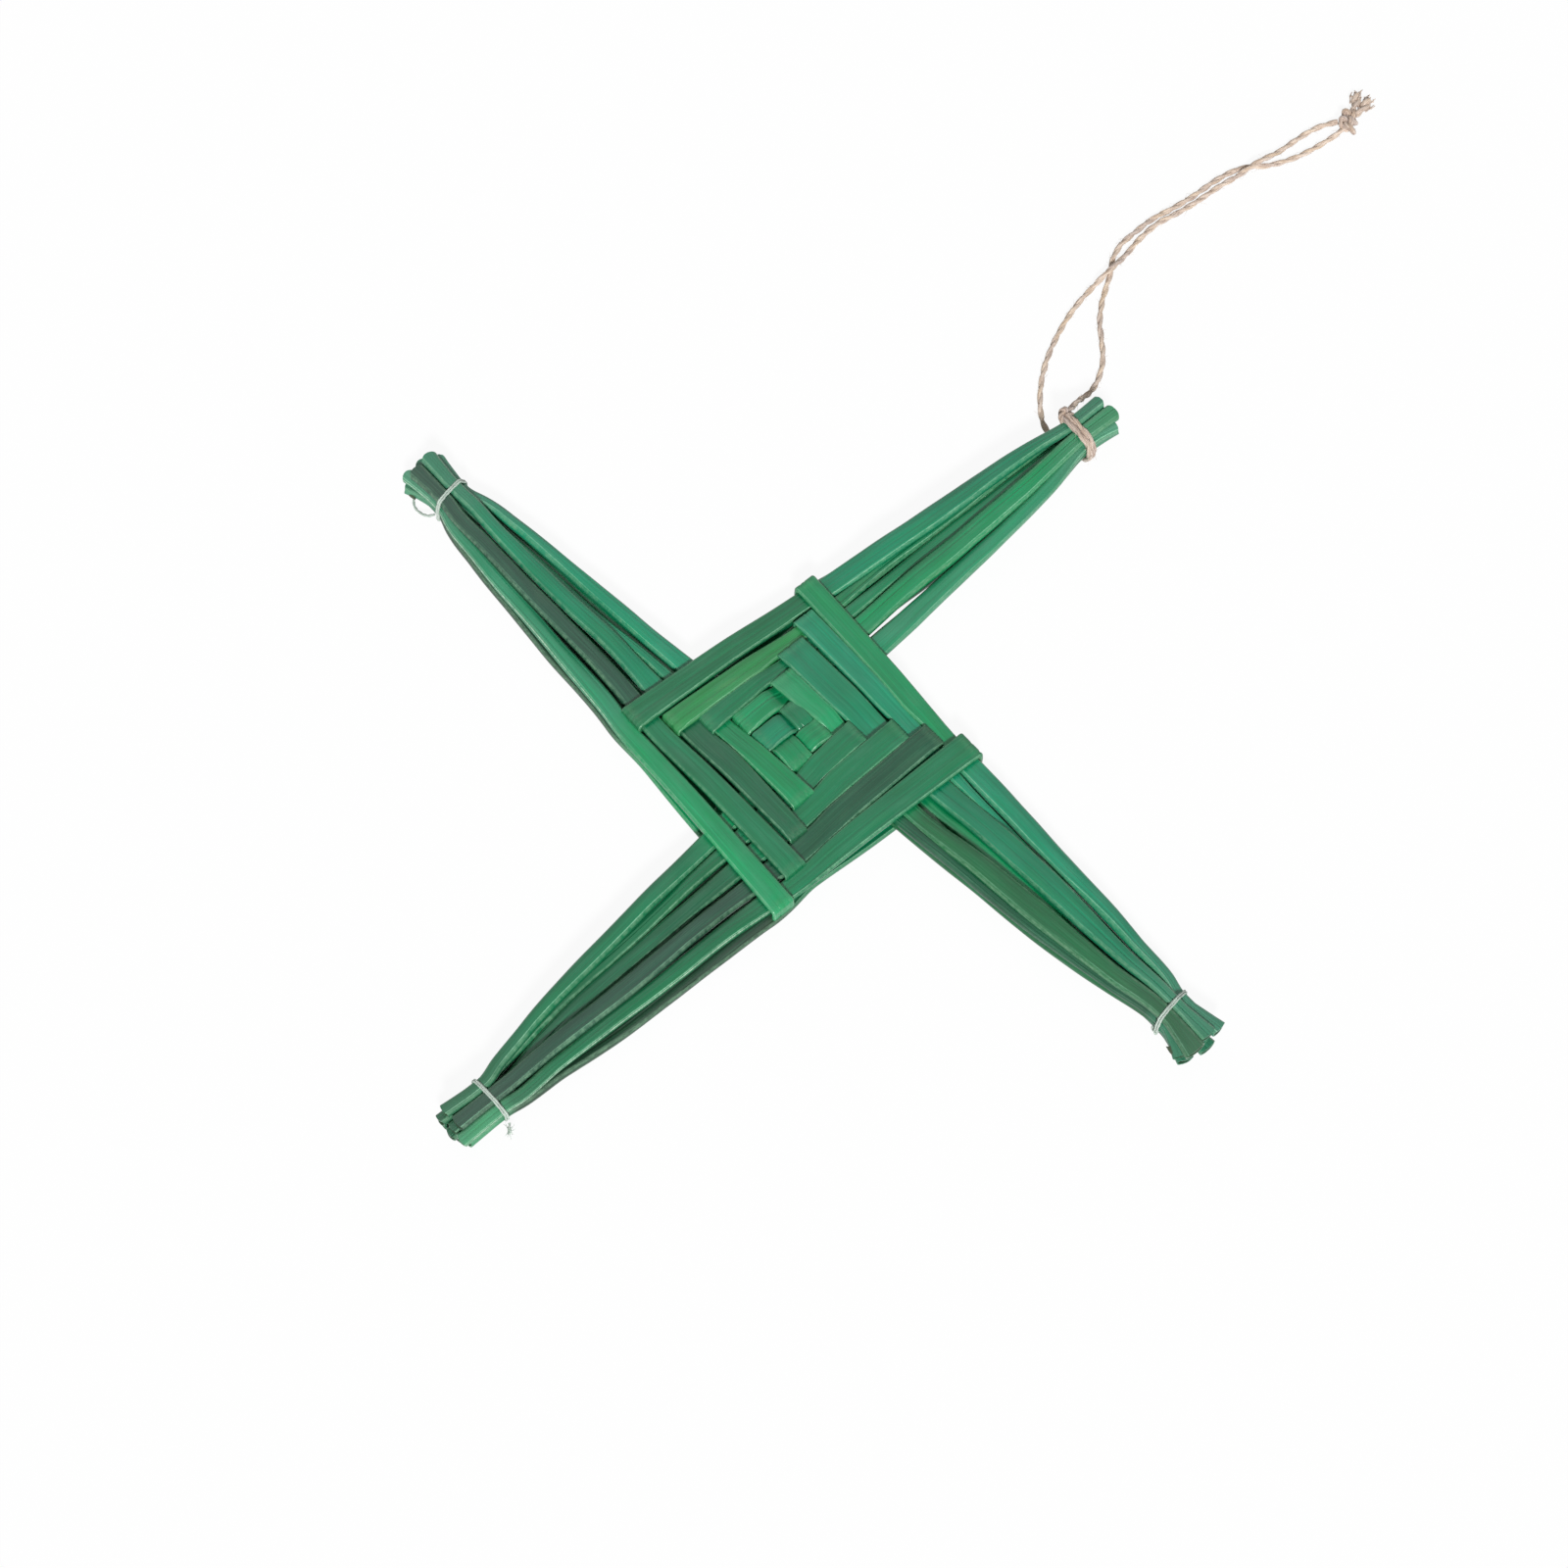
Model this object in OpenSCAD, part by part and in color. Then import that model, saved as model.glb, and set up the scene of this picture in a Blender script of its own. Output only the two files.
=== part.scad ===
// A woven straw cross: twenty folded straws, four tied arms and a hanging loop of twine.
// It lies on its back. East is +X, north is +Y, and each arm's own frame has x pointing outward.

/* [Weave] */
// Width of a straw of average room in the woven square
straw_w = 4.7; // [3.8:0.1:5.6]
// Thickness of a flattened straw
straw_t = 1.3; // [0.9:0.05:1.4]
// Clearance between straws that lie side by side
side_gap = 0.6; // [0.5:0.05:0.9]
// Clearance between straws that lie on each other
layer_gap = 0.25; // [0.2:0.05:0.4]

/* [Arms] */
// Distance from the middle of the weave to a tie, along the arm
tie_reach = 90; // [70:1:120]
// Distance from the middle of the weave to a tie, across the arm
tie_side = 17; // [12:0.5:20]
// Length of the loose tails beyond a tie
tail = 10; // [6:0.5:30]
// How far the tails spread, as a share of the width at the tie
tail_spread = 0.25; // [0.15:0.05:0.6]
// Width of a straw where it is squeezed under a tie
neck_straw_w = 2.25; // [1.8:0.05:2.6]
// Thickness of a straw where it is squeezed under a tie
neck_straw_t = 1.5; // [1.2:0.05:1.8]

/* [Ties] */
// Diameter of the thread round three of the arms
thread_d = 0.55; // [0.4:0.05:0.8]
// Turns of thread in a tie
thread_turns = 2; // [2:1:3]
// Diameter of the twine of the binding and the hanging loop
twine_d = 1.3; // [1:0.1:1.4]
// Turns of twine in the binding
twine_turns = 2; // [2:1:3]
// Clearance between one turn and the next
turn_gap = 0.45; // [0.42:0.02:0.6]
// Clearance between the straws' widest points and a tie
tie_ease = 0.5; // [0.5:0.05:0.7]

/* [Hidden] */

// The arms in the order of weaving, each a quarter turn clockwise from the one before
EAST = 0;
SOUTH = 1;
WEST = 2;
NORTH = 3;
STRAWS = 5;
pitch = straw_w + side_gap;

// Room of each straw in its arm's rows, from the middle outward, in average straws
ROOM = [
  [1.04, 1, 0.8, 0.8, 1.02],
  [0.7, 0.98, 1.23, 0.87, 1.04],
  [0.9, 1.04, 0.98, 1.06, 1.13],
  [1.08, 1, 1.08, 1.1, 1.1]
];
// Hand-laid differences of the four ties from the average, along and across the arm
REACH_BY_HAND = [-1, 0, 3, -2.5];
SIDE_BY_HAND = [-3, -1, 2.8, 0.8];
// How much shorter than the longest each straw is cut, front half and back half
CUT_FRONT = [1.4, 0, 0.7, 1.8, 0.5];
CUT_BACK = [0.6, 1.2, 0, 0.9, 1.6];
// How much longer than the average each arm's tails are, and how many times as spread
TAIL_BY_HAND = [0.3, 0, 0, 0];
SPREAD_BY_HAND = [1, 2.2, 1, 1.2];

// Levels of the layers above the middle of the weave, and the same at a tie
layer = straw_t + layer_gap;
z_inner = layer / 2;
z_outer = layer * 3 / 2;
neck_gap = 0.2;
neck_layer = neck_straw_t + neck_gap;
neck_pitch = neck_straw_w + neck_gap;

// A fold turns down and back round corners of this radius, measured at its middle
fold_r = straw_t / 2 + 0.35;
// A straw is squeezed where a neighbour's fold stands at its inner edge, and widens again over this
notch_run = 1.5;
// The four middle straws draw aside where they step over each other
middle_notch = 0.7;
middle_step = 1.7;

// The arms start to draw together here, and run straight for a little under a tie
arm_from = 1.5 * pitch;
tie_straight = 2.4;
rise_run = 28;
neck_bulge = 0.3;

// Half width and half height inside a tie, and the height of each neck over the surface
tie_a = neck_pitch + neck_straw_w / 2 + tie_ease;
tie_b = neck_layer * 3 / 2 + neck_straw_t / 2 + tie_ease;
flat_share = 0.1;
thread_lift = tie_b + thread_d * (1 - flat_share);
twine_lift = tie_b + twine_d * (1 - flat_share);
tie_steps = 24;
tie_sides = 6;

function reach(arm) = tie_reach + REACH_BY_HAND[arm];
function side(arm) = tie_side + SIDE_BY_HAND[arm];
function tail_of(arm) = tail + TAIL_BY_HAND[arm];
function tip(arm) = reach(arm) + tail_of(arm);
function lift(arm) = arm == EAST ? twine_lift : thread_lift;

// The weave's middle, with the origin midway between opposite tips
weave_at = [(tip(WEST) - tip(EAST)) / 2, (tip(SOUTH) - tip(NORTH)) / 2, thread_lift];

// Small tools
function next(arm) = (arm + 1) % 4;
function prev(arm) = (arm + 3) % 4;
function mix(a, b, f) = a + (b - a) * f;
function clamp01(v) = max(0, min(1, v));
function ease(from, to, x) = let (f = clamp01((x - from) / (to - from))) f * f * (3 - 2 * f);
function unit(v) = v / norm(v);
function bump(from, to, run, x) = ease(from - run, from, x) * (1 - ease(to, to + run, x));
function length_of(route) =
  len(route) < 2 ? 0 : sum([for (i = [1:len(route) - 1]) norm(route[i] - route[i - 1])]);
function sum(list, n = undef, i = 0) =
  let (count = is_undef(n) ? len(list) : n) i >= count ? 0 : list[i] + sum(list, count, i + 1);

// Where the row of straw j ends, counted from the middle, and its own place and width
function line(arm, j) = j <= 0 ? 0 : pitch * sum(ROOM[arm], j);
function middle(arm, j) = (line(arm, j - 1) + line(arm, j)) / 2;
function width(arm, j) = line(arm, j) - line(arm, j - 1) - side_gap;

// Each straw folds round the straws of the arm before it
function folded_round(arm, j) = arm == EAST ? max(1, j - 1) : j;
function fold_line(arm, j) = -line(prev(arm), folded_round(arm, j));
// Its upright wall stands just beyond the last straw that it goes round
function fold_wall(arm, j) =
  -outer_edge(prev(arm), folded_round(arm, j), middle(arm, j)) - layer_gap - straw_t / 2;
// Between the middle and this line it comes down from the outer to the inner layer
function down_by(arm, j) = arm == NORTH ? (j == 1 ? 0 : line(EAST, j)) : line(next(arm), j - 1);
function notch_from(arm, j) =
  j == 1 ? fold_line(arm, 1) : arm == NORTH ? (j == 2 ? 0 : line(EAST, j - 1)) : line(next(arm), j - 2);
function notch_to(arm, j) = j == 1 ? line(next(arm), 1) : down_by(arm, j);
// The squeeze leaves room for the fold that stands between straw j and the one before it
function notch_depth(arm, j) =
  let (at = arm == NORTH ? middle(EAST, j) : middle(next(arm), j - 1))
  outer_edge(arm, j - 1, at) + straw_t + 2 * layer_gap - inner_edge(arm, j, at);
function notch(arm, j, x) =
  (j == 1 ? middle_notch : notch_depth(arm, j)) * bump(notch_from(arm, j), notch_to(arm, j), notch_run, x);

// How far along its arm a straw has come, and how far the arm has drawn together there
function along(arm, x) = clamp01((x - arm_from) / (reach(arm) - tie_straight - arm_from));
function drawn(f) = mix(f, pow(f, 6), neck_bulge);
function in_tail(arm, x) = clamp01((x - reach(arm) - tie_straight) / (tail_of(arm) - tie_straight));
function spread(arm, x) = tail_spread * SPREAD_BY_HAND[arm] * in_tail(arm, x);

// A straw's middle and width with no squeeze, and its two edges
function plain_y(arm, j, x) =
  let (neck_y = side(arm) + (j - 3) * neck_pitch / 2)
  mix(middle(arm, j), neck_y, drawn(along(arm, x))) + (neck_y - side(arm)) * spread(arm, x);
function plain_width(arm, j, x) =
  mix(width(arm, j), neck_straw_w, along(arm, x)) * (1 + spread(arm, x));
function outer_edge(arm, j, x) = plain_y(arm, j, x) + plain_width(arm, j, x) / 2;
function inner_edge(arm, j, x) = plain_y(arm, j, x) - plain_width(arm, j, x) / 2;

function weave_z(arm, j, x) = j == 1
  ? mix(z_outer, z_inner, ease(-middle_step, middle_step, x))
  : mix(z_outer, z_inner, ease(0, down_by(arm, j), x));
function neck_z(j) = (j % 2 == 0 ? 3 : 1) * neck_layer / 2;
function straw_z(arm, j, x) =
  let (edge = line(next(arm), STRAWS) + 1)
  mix(weave_z(arm, j, x), neck_z(j), ease(edge, edge + rise_run, x));
function straw_y(arm, j, x) = plain_y(arm, j, x) + notch(arm, j, x) / 2;
function straw_width(arm, j, x) = plain_width(arm, j, x) - notch(arm, j, x);
function straw_thick(arm, x) = mix(straw_t, neck_straw_t, along(arm, x));
// The bundle's own height changes from the weave's to the tie's along the arm
function bundle_z(arm, x) = (lift(arm) - weave_at.z) * ease(0, 1, along(arm, x));

// A straw's cross-section is a flat oval
OVAL = [[1, 0], [0.72, 0.88], [0, 1], [-0.72, 0.88], [-1, 0], [-0.72, -0.88], [0, -1], [0.72, -0.88]];
function oval_ring(c, u, n, w, t) = [for (p = OVAL) c + u * (w / 2 * p.x) + n * (t / 2 * p.y)];

function half_ring(arm, j, x, flip, square) =
  let (
    d = square ? 0 : 0.05,
    slope_y = square ? 0 : (straw_y(arm, j, x + d) - straw_y(arm, j, x - d)) / (2 * d),
    slope_z = square ? 0 : (straw_z(arm, j, x + d) - straw_z(arm, j, x - d)) / (2 * d),
    ahead = unit([1, slope_y, slope_z]),
    u = unit([-slope_y, 1, 0]),
    n = cross(ahead, u),
    ring = oval_ring([x, straw_y(arm, j, x), straw_z(arm, j, x)], u, n,
      straw_width(arm, j, x), straw_thick(arm, x))
  )
  [for (p = ring) [p.x, p.y, p.z * flip + bundle_z(arm, x)]];

function fold_ring(arm, j, angle, flip) =
  let (
    x = fold_wall(arm, j) + fold_r,
    c = [x - fold_r * sin(angle), straw_y(arm, j, x), z_outer - fold_r + fold_r * cos(angle)],
    ring = oval_ring(c, [0, 1, 0], [-sin(angle), 0, cos(angle)], straw_width(arm, j, x), straw_t)
  )
  [for (p = ring) [p.x, p.y, p.z * flip]];

// Places along a half straw where its shape changes, from the fold out to the tie
function weave_stops(arm, j) =
  let (from = notch_from(arm, j), to = notch_to(arm, j))
  j == 1
    ? [-middle_step, -middle_step / 2, 0, middle_step / 2, middle_step, to, to + notch_run]
    : concat(
        from > 0 ? [0, from * 0.55, from - notch_run * 0.4] : [-notch_run],
        [from, mix(from, to, 0.5), to, to + notch_run]);
function arm_stops(arm, j) =
  let (
    from = max(arm_from, notch_to(arm, j) + notch_run + 2),
    to = reach(arm) - tie_straight,
    steps = 7
  )
  [for (i = [0:steps]) mix(from, to, pow(i / steps, 0.8))];
function tail_stops(arm) =
  [reach(arm) + tie_straight, reach(arm) + mix(tie_straight, tail_of(arm), 0.45)];
function half_straw(arm, j, flip, cut) = concat(
  [for (x = concat(weave_stops(arm, j), arm_stops(arm, j), tail_stops(arm)))
    half_ring(arm, j, x, flip, false)],
  [half_ring(arm, j, tip(arm) - cut, flip, true)]);
function reversed(list) = [for (i = [len(list) - 1:-1:0]) list[i]];
function straw_rings(arm, j) = concat(
  reversed(half_straw(arm, j, 1, CUT_FRONT[j - 1])),
  [for (angle = [0:30:90]) fold_ring(arm, j, angle, 1)],
  [for (angle = [90:-30:0]) fold_ring(arm, j, angle, -1)],
  half_straw(arm, j, -1, CUT_BACK[j - 1]));

// A closed solid through a list of rings with the same number of points
module skin(rings) {
  n = len(rings[0]);
  last = (len(rings) - 1) * n;
  sides = [for (r = [0:len(rings) - 2], k = [0:n - 1])
    let (a = r * n + k, b = r * n + (k + 1) % n)
    each [[a, b, b + n], [a, b + n, a + n]]];
  caps = [for (k = [1:n - 2]) each [[0, k + 1, k], [last, last + k, last + k + 1]]];
  polyhedron(points = [for (ring = rings) each ring], faces = concat(sides, caps));
}

// Puts an arm's own frame in its place in the cross
module in_arm(arm) {
  translate(weave_at) rotate([0, 0, -90 * arm]) children();
}

module straw(arm, j) {
  color(STRAW_GREENS[arm][j - 1]) in_arm(arm) skin(straw_rings(arm, j));
}

// Colours of the dyed straws, from the middle outward
STRAW_GREENS = [
  ["#3a8c6c", "#3ea06c", "#3c8c5a", "#4ba05a", "#367d58"],
  ["#3c8c5a", "#4ba56e", "#3a8769", "#3e9670", "#4ba069"],
  ["#3c9b64", "#3a8c5f", "#378a62", "#345c4b", "#3c8558"],
  ["#41966c", "#419162", "#3a785f", "#466958", "#44a56e"]
];

// A tie: turns of thread round the neck, with both ends at a knot on the flank
function turn_point(arm, a, b, run, turns, knot_at, i) =
  let (angle = knot_at + 360 * i / tie_steps)
  [reach(arm) + run * (i / tie_steps - turns / 2), side(arm) + a * cos(angle), b * sin(angle)];
function tie_route(arm, d, turns, knot_at) =
  let (
    a = tie_a + d / 2,
    b = tie_b + d / 2,
    run = d + turn_gap,
    // The ends stop short of the knot by one step, and run on straight for one diameter
    loops = [for (i = [1:tie_steps * turns - 1]) turn_point(arm, a, b, run, turns, knot_at, i)],
    last = len(loops) - 1
  )
  concat(
    [loops[0] + unit(loops[0] - loops[1]) * d],
    loops,
    [loops[last] + unit(loops[last] - loops[last - 1]) * d]);

function ahead_at(route, i) = unit(route[min(i + 1, len(route) - 1)] - route[max(i - 1, 0)]);
function round_ring(c, ahead, out, r, sides) =
  let (u = unit(out - ahead * (out * ahead)), v = cross(u, ahead))
  [for (k = [0:sides - 1]) let (a = 360 * (k + 0.5) / sides) c + (u * cos(a) + v * sin(a)) * r];
// The tube is flattened where it rests on the surface
function tie_rings(arm, d, turns, knot_at) =
  let (route = tie_route(arm, d, turns, knot_at), floor_z = -lift(arm))
  [for (i = [0:len(route) - 1])
    let (c = route[i], out = [0, (c.y - side(arm)) / pow(tie_a, 2), c.z / pow(tie_b, 2)])
    [for (p = round_ring(c, ahead_at(route, i), out, d / 2 / cos(180 / tie_sides), tie_sides))
      [p.x, p.y, max(p.z, floor_z)]]];

// Least distance between two turns of one tube, less its thickness
function turn_clearance(route, d) =
  let (near = tie_steps * 3 / 4)
  min([for (i = [0:len(route) - 1], k = [i + near:1:len(route) - 1]) norm(route[i] - route[k])]) - d;

// A knot is a lump, longest across the turns that it holds
function lump_rings(half_length, r, steps, sides) =
  [for (i = [0:steps])
    let (a = mix(-80, 80, i / steps))
    [for (k = [0:sides - 1])
      let (b = 360 * k / sides)
      [half_length * sin(a), r * cos(a) * cos(b), -r * cos(a) * sin(b)]]];
module tie_knot(arm, d, turns, knot_at) {
  half_length = (d + turn_gap) * turns / 2 + d / 2;
  translate([reach(arm), side(arm) + (tie_a + d * 0.62) * cos(knot_at), (tie_b + d * 0.62) * sin(knot_at)])
    rotate([knot_at, 0, 0])
      skin(lump_rings(half_length, d * 0.55, 6, 8));
}
module tie(arm, d, turns, knot_at) {
  translate([weave_at.x, weave_at.y, lift(arm)]) rotate([0, 0, -90 * arm]) {
    skin(tie_rings(arm, d, turns, knot_at));
    tie_knot(arm, d, turns, knot_at);
  }
  echo(str("tie on arm ", arm, ": least gap between turns, mm"),
    turn_clearance(tie_route(arm, d, turns, knot_at), d));
}

// A free tube along points chosen by hand
function tube_rings(route, r, sides) =
  [for (i = [0:len(route) - 1])
    let (ahead = ahead_at(route, i))
    round_ring(route[i], ahead, [0, 0, 1], r / cos(180 / sides), sides)];

// The loose end of the north tie bows out round the tails, and the west tie has a short end
NORTH_END = [[-20.8, 88.9, 3], [-21.8, 90, 2], [-22.3, 92.2, 1.2], [-22.3, 94.4, 0.7],
  [-21.5, 96.2, 0.4], [-19.5, 97.3, 0.4], [-17, 97.2, 0.4]];
WEST_END = [[-90.9, -23.6, 2], [-91.4, -25, 1.2], [-91.9, -27.2, 0.5]];

module thread_tie_south() {
  color("#c3cdbe") tie(SOUTH, thread_d, thread_turns, 202.5);
}
module thread_tie_west() {
  color("#c3cdbe") {
    tie(WEST, thread_d, thread_turns, 217.5);
    skin(tube_rings(WEST_END, thread_d / 2, tie_sides));
  }
}
module thread_tie_north() {
  color("#c3cdbe") {
    tie(NORTH, thread_d, thread_turns, 322.5);
    skin(tube_rings(NORTH_END, thread_d / 2, tie_sides));
  }
}
module twine_binding_east() {
  color("#cdb9a5") tie(EAST, twine_d, twine_turns, 37.5);
}

// The hanging loop: two strands of one twine, which cross twice and end in a knot
UPPER_STRAND = [
  [88.5, 16.5, 0.7], [88.5, 19, 0.7], [89.2, 22, 0.7], [90.4, 25, 0.7], [92.8, 28.2, 0.7],
  [96, 31.4, 0.7], [99.8, 34.3, 0.7], [104.5, 37, 0.7], [110.5, 39.6, 0.7], [116.5, 41.4, 0.7],
  [121.5, 42.1, 1.2], [125, 42.3, 2.2], [128, 42.6, 2.1], [132, 43.5, 1], [137.5, 44.7, 0.7],
  [143, 45, 0.7], [148, 44.2, 0.7], [153.5, 43.6, 0.7], [159.5, 43.3, 0.7], [164, 42.6, 1],
  [168, 41.9, 2.2], [171.5, 41.5, 2.1], [175.5, 41.3, 1], [180, 41.2, 0.7], [184.5, 40.9, 0.7],
  [188, 40, 0.9], [190.9, 38.4, 1.4]];
LOWER_STRAND = [
  [94.8, 20.9, 6.4], [97, 21.6, 5.2], [99.6, 22.3, 3.2], [102.5, 23.1, 1.5], [105.5, 24.3, 0.7],
  [108.8, 26.3, 0.7], [111.2, 28.6, 0.7], [113.3, 31.2, 0.7], [116, 34.6, 0.7], [119.5, 37.8, 0.7],
  [123.2, 40.3, 0.7], [126.5, 42.4, 0.7], [129.2, 44.6, 0.7], [133, 46.2, 0.7], [138, 46.6, 0.7],
  [143, 46.6, 0.7], [148, 45.8, 0.7], [153.5, 45.2, 0.7], [159.5, 45, 0.7], [164.5, 44.3, 0.7],
  [168.2, 42.8, 0.7], [171, 40.7, 0.7], [174.5, 39, 0.7], [179, 37.6, 0.7], [184, 36.8, 0.7],
  [188, 36.4, 0.9], [190.9, 36.4, 1.4]];
TWINE_ENDS = [
  [[195.6, 38.1, 1.5], [197.8, 39.5, 1.1], [200.8, 41.5, 0.7]],
  [[195.7, 36.8, 1.5], [198.4, 37.1, 1.1], [201.6, 37.6, 0.7]]];
KNOT_AT = [193.3, 37.4, 1.9];
knot_half_length = 2.7;
knot_r = 1.85;
cord_sides = 8;

module hanging_strand_upper() {
  color("#cdb9a5") skin(tube_rings(UPPER_STRAND, twine_d / 2, cord_sides));
  echo("upper strand, length in mm", length_of(UPPER_STRAND));
}
module hanging_strand_lower() {
  color("#cdb9a5") skin(tube_rings(LOWER_STRAND, twine_d / 2, cord_sides));
  echo("lower strand, length in mm", length_of(LOWER_STRAND));
}
module hanging_knot() {
  color("#cdb9a5") translate(KNOT_AT) rotate([0, 0, 80])
    skin(lump_rings(knot_half_length, knot_r, 8, 10));
}
module hanging_twine_ends() {
  color("#cdb9a5") for (route = TWINE_ENDS) skin(tube_rings(route, twine_d / 2, cord_sides));
}

straw(EAST, 1);  // straw_east_1
straw(EAST, 2);  // straw_east_2
straw(EAST, 3);  // straw_east_3
straw(EAST, 4);  // straw_east_4
straw(EAST, 5);  // straw_east_5
straw(SOUTH, 1);  // straw_south_1
straw(SOUTH, 2);  // straw_south_2
straw(SOUTH, 3);  // straw_south_3
straw(SOUTH, 4);  // straw_south_4
straw(SOUTH, 5);  // straw_south_5
straw(WEST, 1);  // straw_west_1
straw(WEST, 2);  // straw_west_2
straw(WEST, 3);  // straw_west_3
straw(WEST, 4);  // straw_west_4
straw(WEST, 5);  // straw_west_5
straw(NORTH, 1);  // straw_north_1
straw(NORTH, 2);  // straw_north_2
straw(NORTH, 3);  // straw_north_3
straw(NORTH, 4);  // straw_north_4
straw(NORTH, 5);  // straw_north_5
thread_tie_south();
thread_tie_west();
thread_tie_north();
twine_binding_east();
hanging_strand_upper();
hanging_strand_lower();
hanging_knot();
hanging_twine_ends();
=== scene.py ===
import math

import bpy
import numpy as np
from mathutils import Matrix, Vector

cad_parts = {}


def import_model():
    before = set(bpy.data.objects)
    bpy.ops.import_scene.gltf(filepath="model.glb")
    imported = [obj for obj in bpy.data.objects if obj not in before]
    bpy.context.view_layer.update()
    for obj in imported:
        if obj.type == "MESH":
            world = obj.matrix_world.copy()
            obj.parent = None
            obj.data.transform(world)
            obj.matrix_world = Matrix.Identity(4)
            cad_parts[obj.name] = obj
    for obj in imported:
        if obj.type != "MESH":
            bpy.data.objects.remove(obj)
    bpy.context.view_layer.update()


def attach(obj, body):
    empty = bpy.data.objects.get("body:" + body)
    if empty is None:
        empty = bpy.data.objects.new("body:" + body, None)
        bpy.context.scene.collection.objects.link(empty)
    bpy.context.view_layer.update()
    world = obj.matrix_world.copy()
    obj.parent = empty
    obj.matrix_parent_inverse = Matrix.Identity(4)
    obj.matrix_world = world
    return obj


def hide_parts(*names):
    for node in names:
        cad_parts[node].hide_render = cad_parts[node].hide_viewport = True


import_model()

# A woven straw cross that lies on its back: twenty folded straws, four tied arms and a
# hanging loop of twine. Shapes are worked out in millimetres, and meshes are made in metres.
MM = 0.001


# Small tools


def mix(start, end, share):
    return start + (end - start) * share


def ease(start, end, x):
    """Rises smoothly from 0 to 1."""
    share = np.clip((x - start) / (end - start), 0, 1)
    return share * share * (3 - 2 * share)


def bump(start, end, run, x):
    """1 from start to end, and 0 a run away from them."""
    return ease(start - run, start, x) * (1 - ease(end, end + run, x))


def unit(vectors):
    return vectors / np.maximum(np.linalg.norm(vectors, axis=-1, keepdims=True), 1e-12)


def waves(rng, lengths, amounts):
    """A smooth irregular function of x."""
    phases = rng.uniform(0, math.tau, len(lengths))

    def at(x):
        return sum(amount * np.sin(math.tau * x / length + phase)
                   for length, amount, phase in zip(lengths, amounts, phases))

    return at


def add_object(name, data):
    thing = bpy.data.objects.new(name, data)
    bpy.context.scene.collection.objects.link(thing)
    return thing


def mesh_piece(name, points, faces, attributes, material, sharp):
    """A mesh in metres with its point attributes, which rides on the cross."""
    mesh = bpy.data.meshes.new(name)
    mesh.from_pydata((np.asarray(points) * MM).tolist(), [], faces)
    mesh.polygons.foreach_set("use_smooth", [True] * len(mesh.polygons))
    mesh.set_sharp_from_angle(angle=math.radians(sharp))
    for key, values in attributes.items():
        values = np.asarray(values, dtype=np.float32)
        kind, field = ("FLOAT_VECTOR", "vector") if values.ndim == 2 else ("FLOAT", "value")
        mesh.attributes.new(key, kind, "POINT").data.foreach_set(field, values.ravel())
    mesh.materials.append(material)
    mesh.update()
    piece = add_object(name, mesh)
    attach(piece, "root")
    return piece


def skin_faces(rings, sides, start=0):
    """Faces of a skin through rings of points, closed at both ends."""
    last = start + (rings - 1) * sides
    faces = [(first + k, first + beside, first + beside + sides, first + k + sides)
             for first in range(start, last, sides)
             for k, beside in enumerate([*range(1, sides), 0])]
    faces.append(tuple(reversed(range(start, start + sides))))
    faces.append(tuple(range(last, last + sides)))
    return faces


# Camera

LENS = 73.67
SENSOR_WIDTH = 36
ELEVATION = math.radians(64.56)
AZIMUTH = math.radians(40.85)
DISTANCE = 626.45
AIM = np.array([-7.46, -5.8, 7.27])
CLIP = (0.01, 20)


def add_camera():
    data = bpy.data.cameras.new("camera")
    data.sensor_fit = "HORIZONTAL"
    data.sensor_width = SENSOR_WIDTH
    data.lens = LENS
    data.clip_start, data.clip_end = CLIP
    away = np.array([math.sin(AZIMUTH), math.cos(AZIMUTH), 0])
    up = np.array([0, 0, 1])
    eye = AIM + DISTANCE * (math.sin(ELEVATION) * up - math.cos(ELEVATION) * away)
    camera = add_object("camera", data)
    camera.location = Vector(eye * MM)
    camera.rotation_euler = Vector((AIM - eye) * MM).to_track_quat("-Z", "Y").to_euler()
    bpy.context.scene.camera = camera


# Materials

WHITE = (1, 1, 1, 1)


def colour(*rgb):
    """A screen colour, 0 to 255, as the linear colour that a shader takes."""
    def channel(value):
        value /= 255
        return value / 12.92 if value <= 0.04045 else ((value + 0.055) / 1.055) ** 2.4
    return (*[channel(value) for value in rgb], 1)


def is_socket(value):
    return isinstance(value, bpy.types.NodeSocket)


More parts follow.
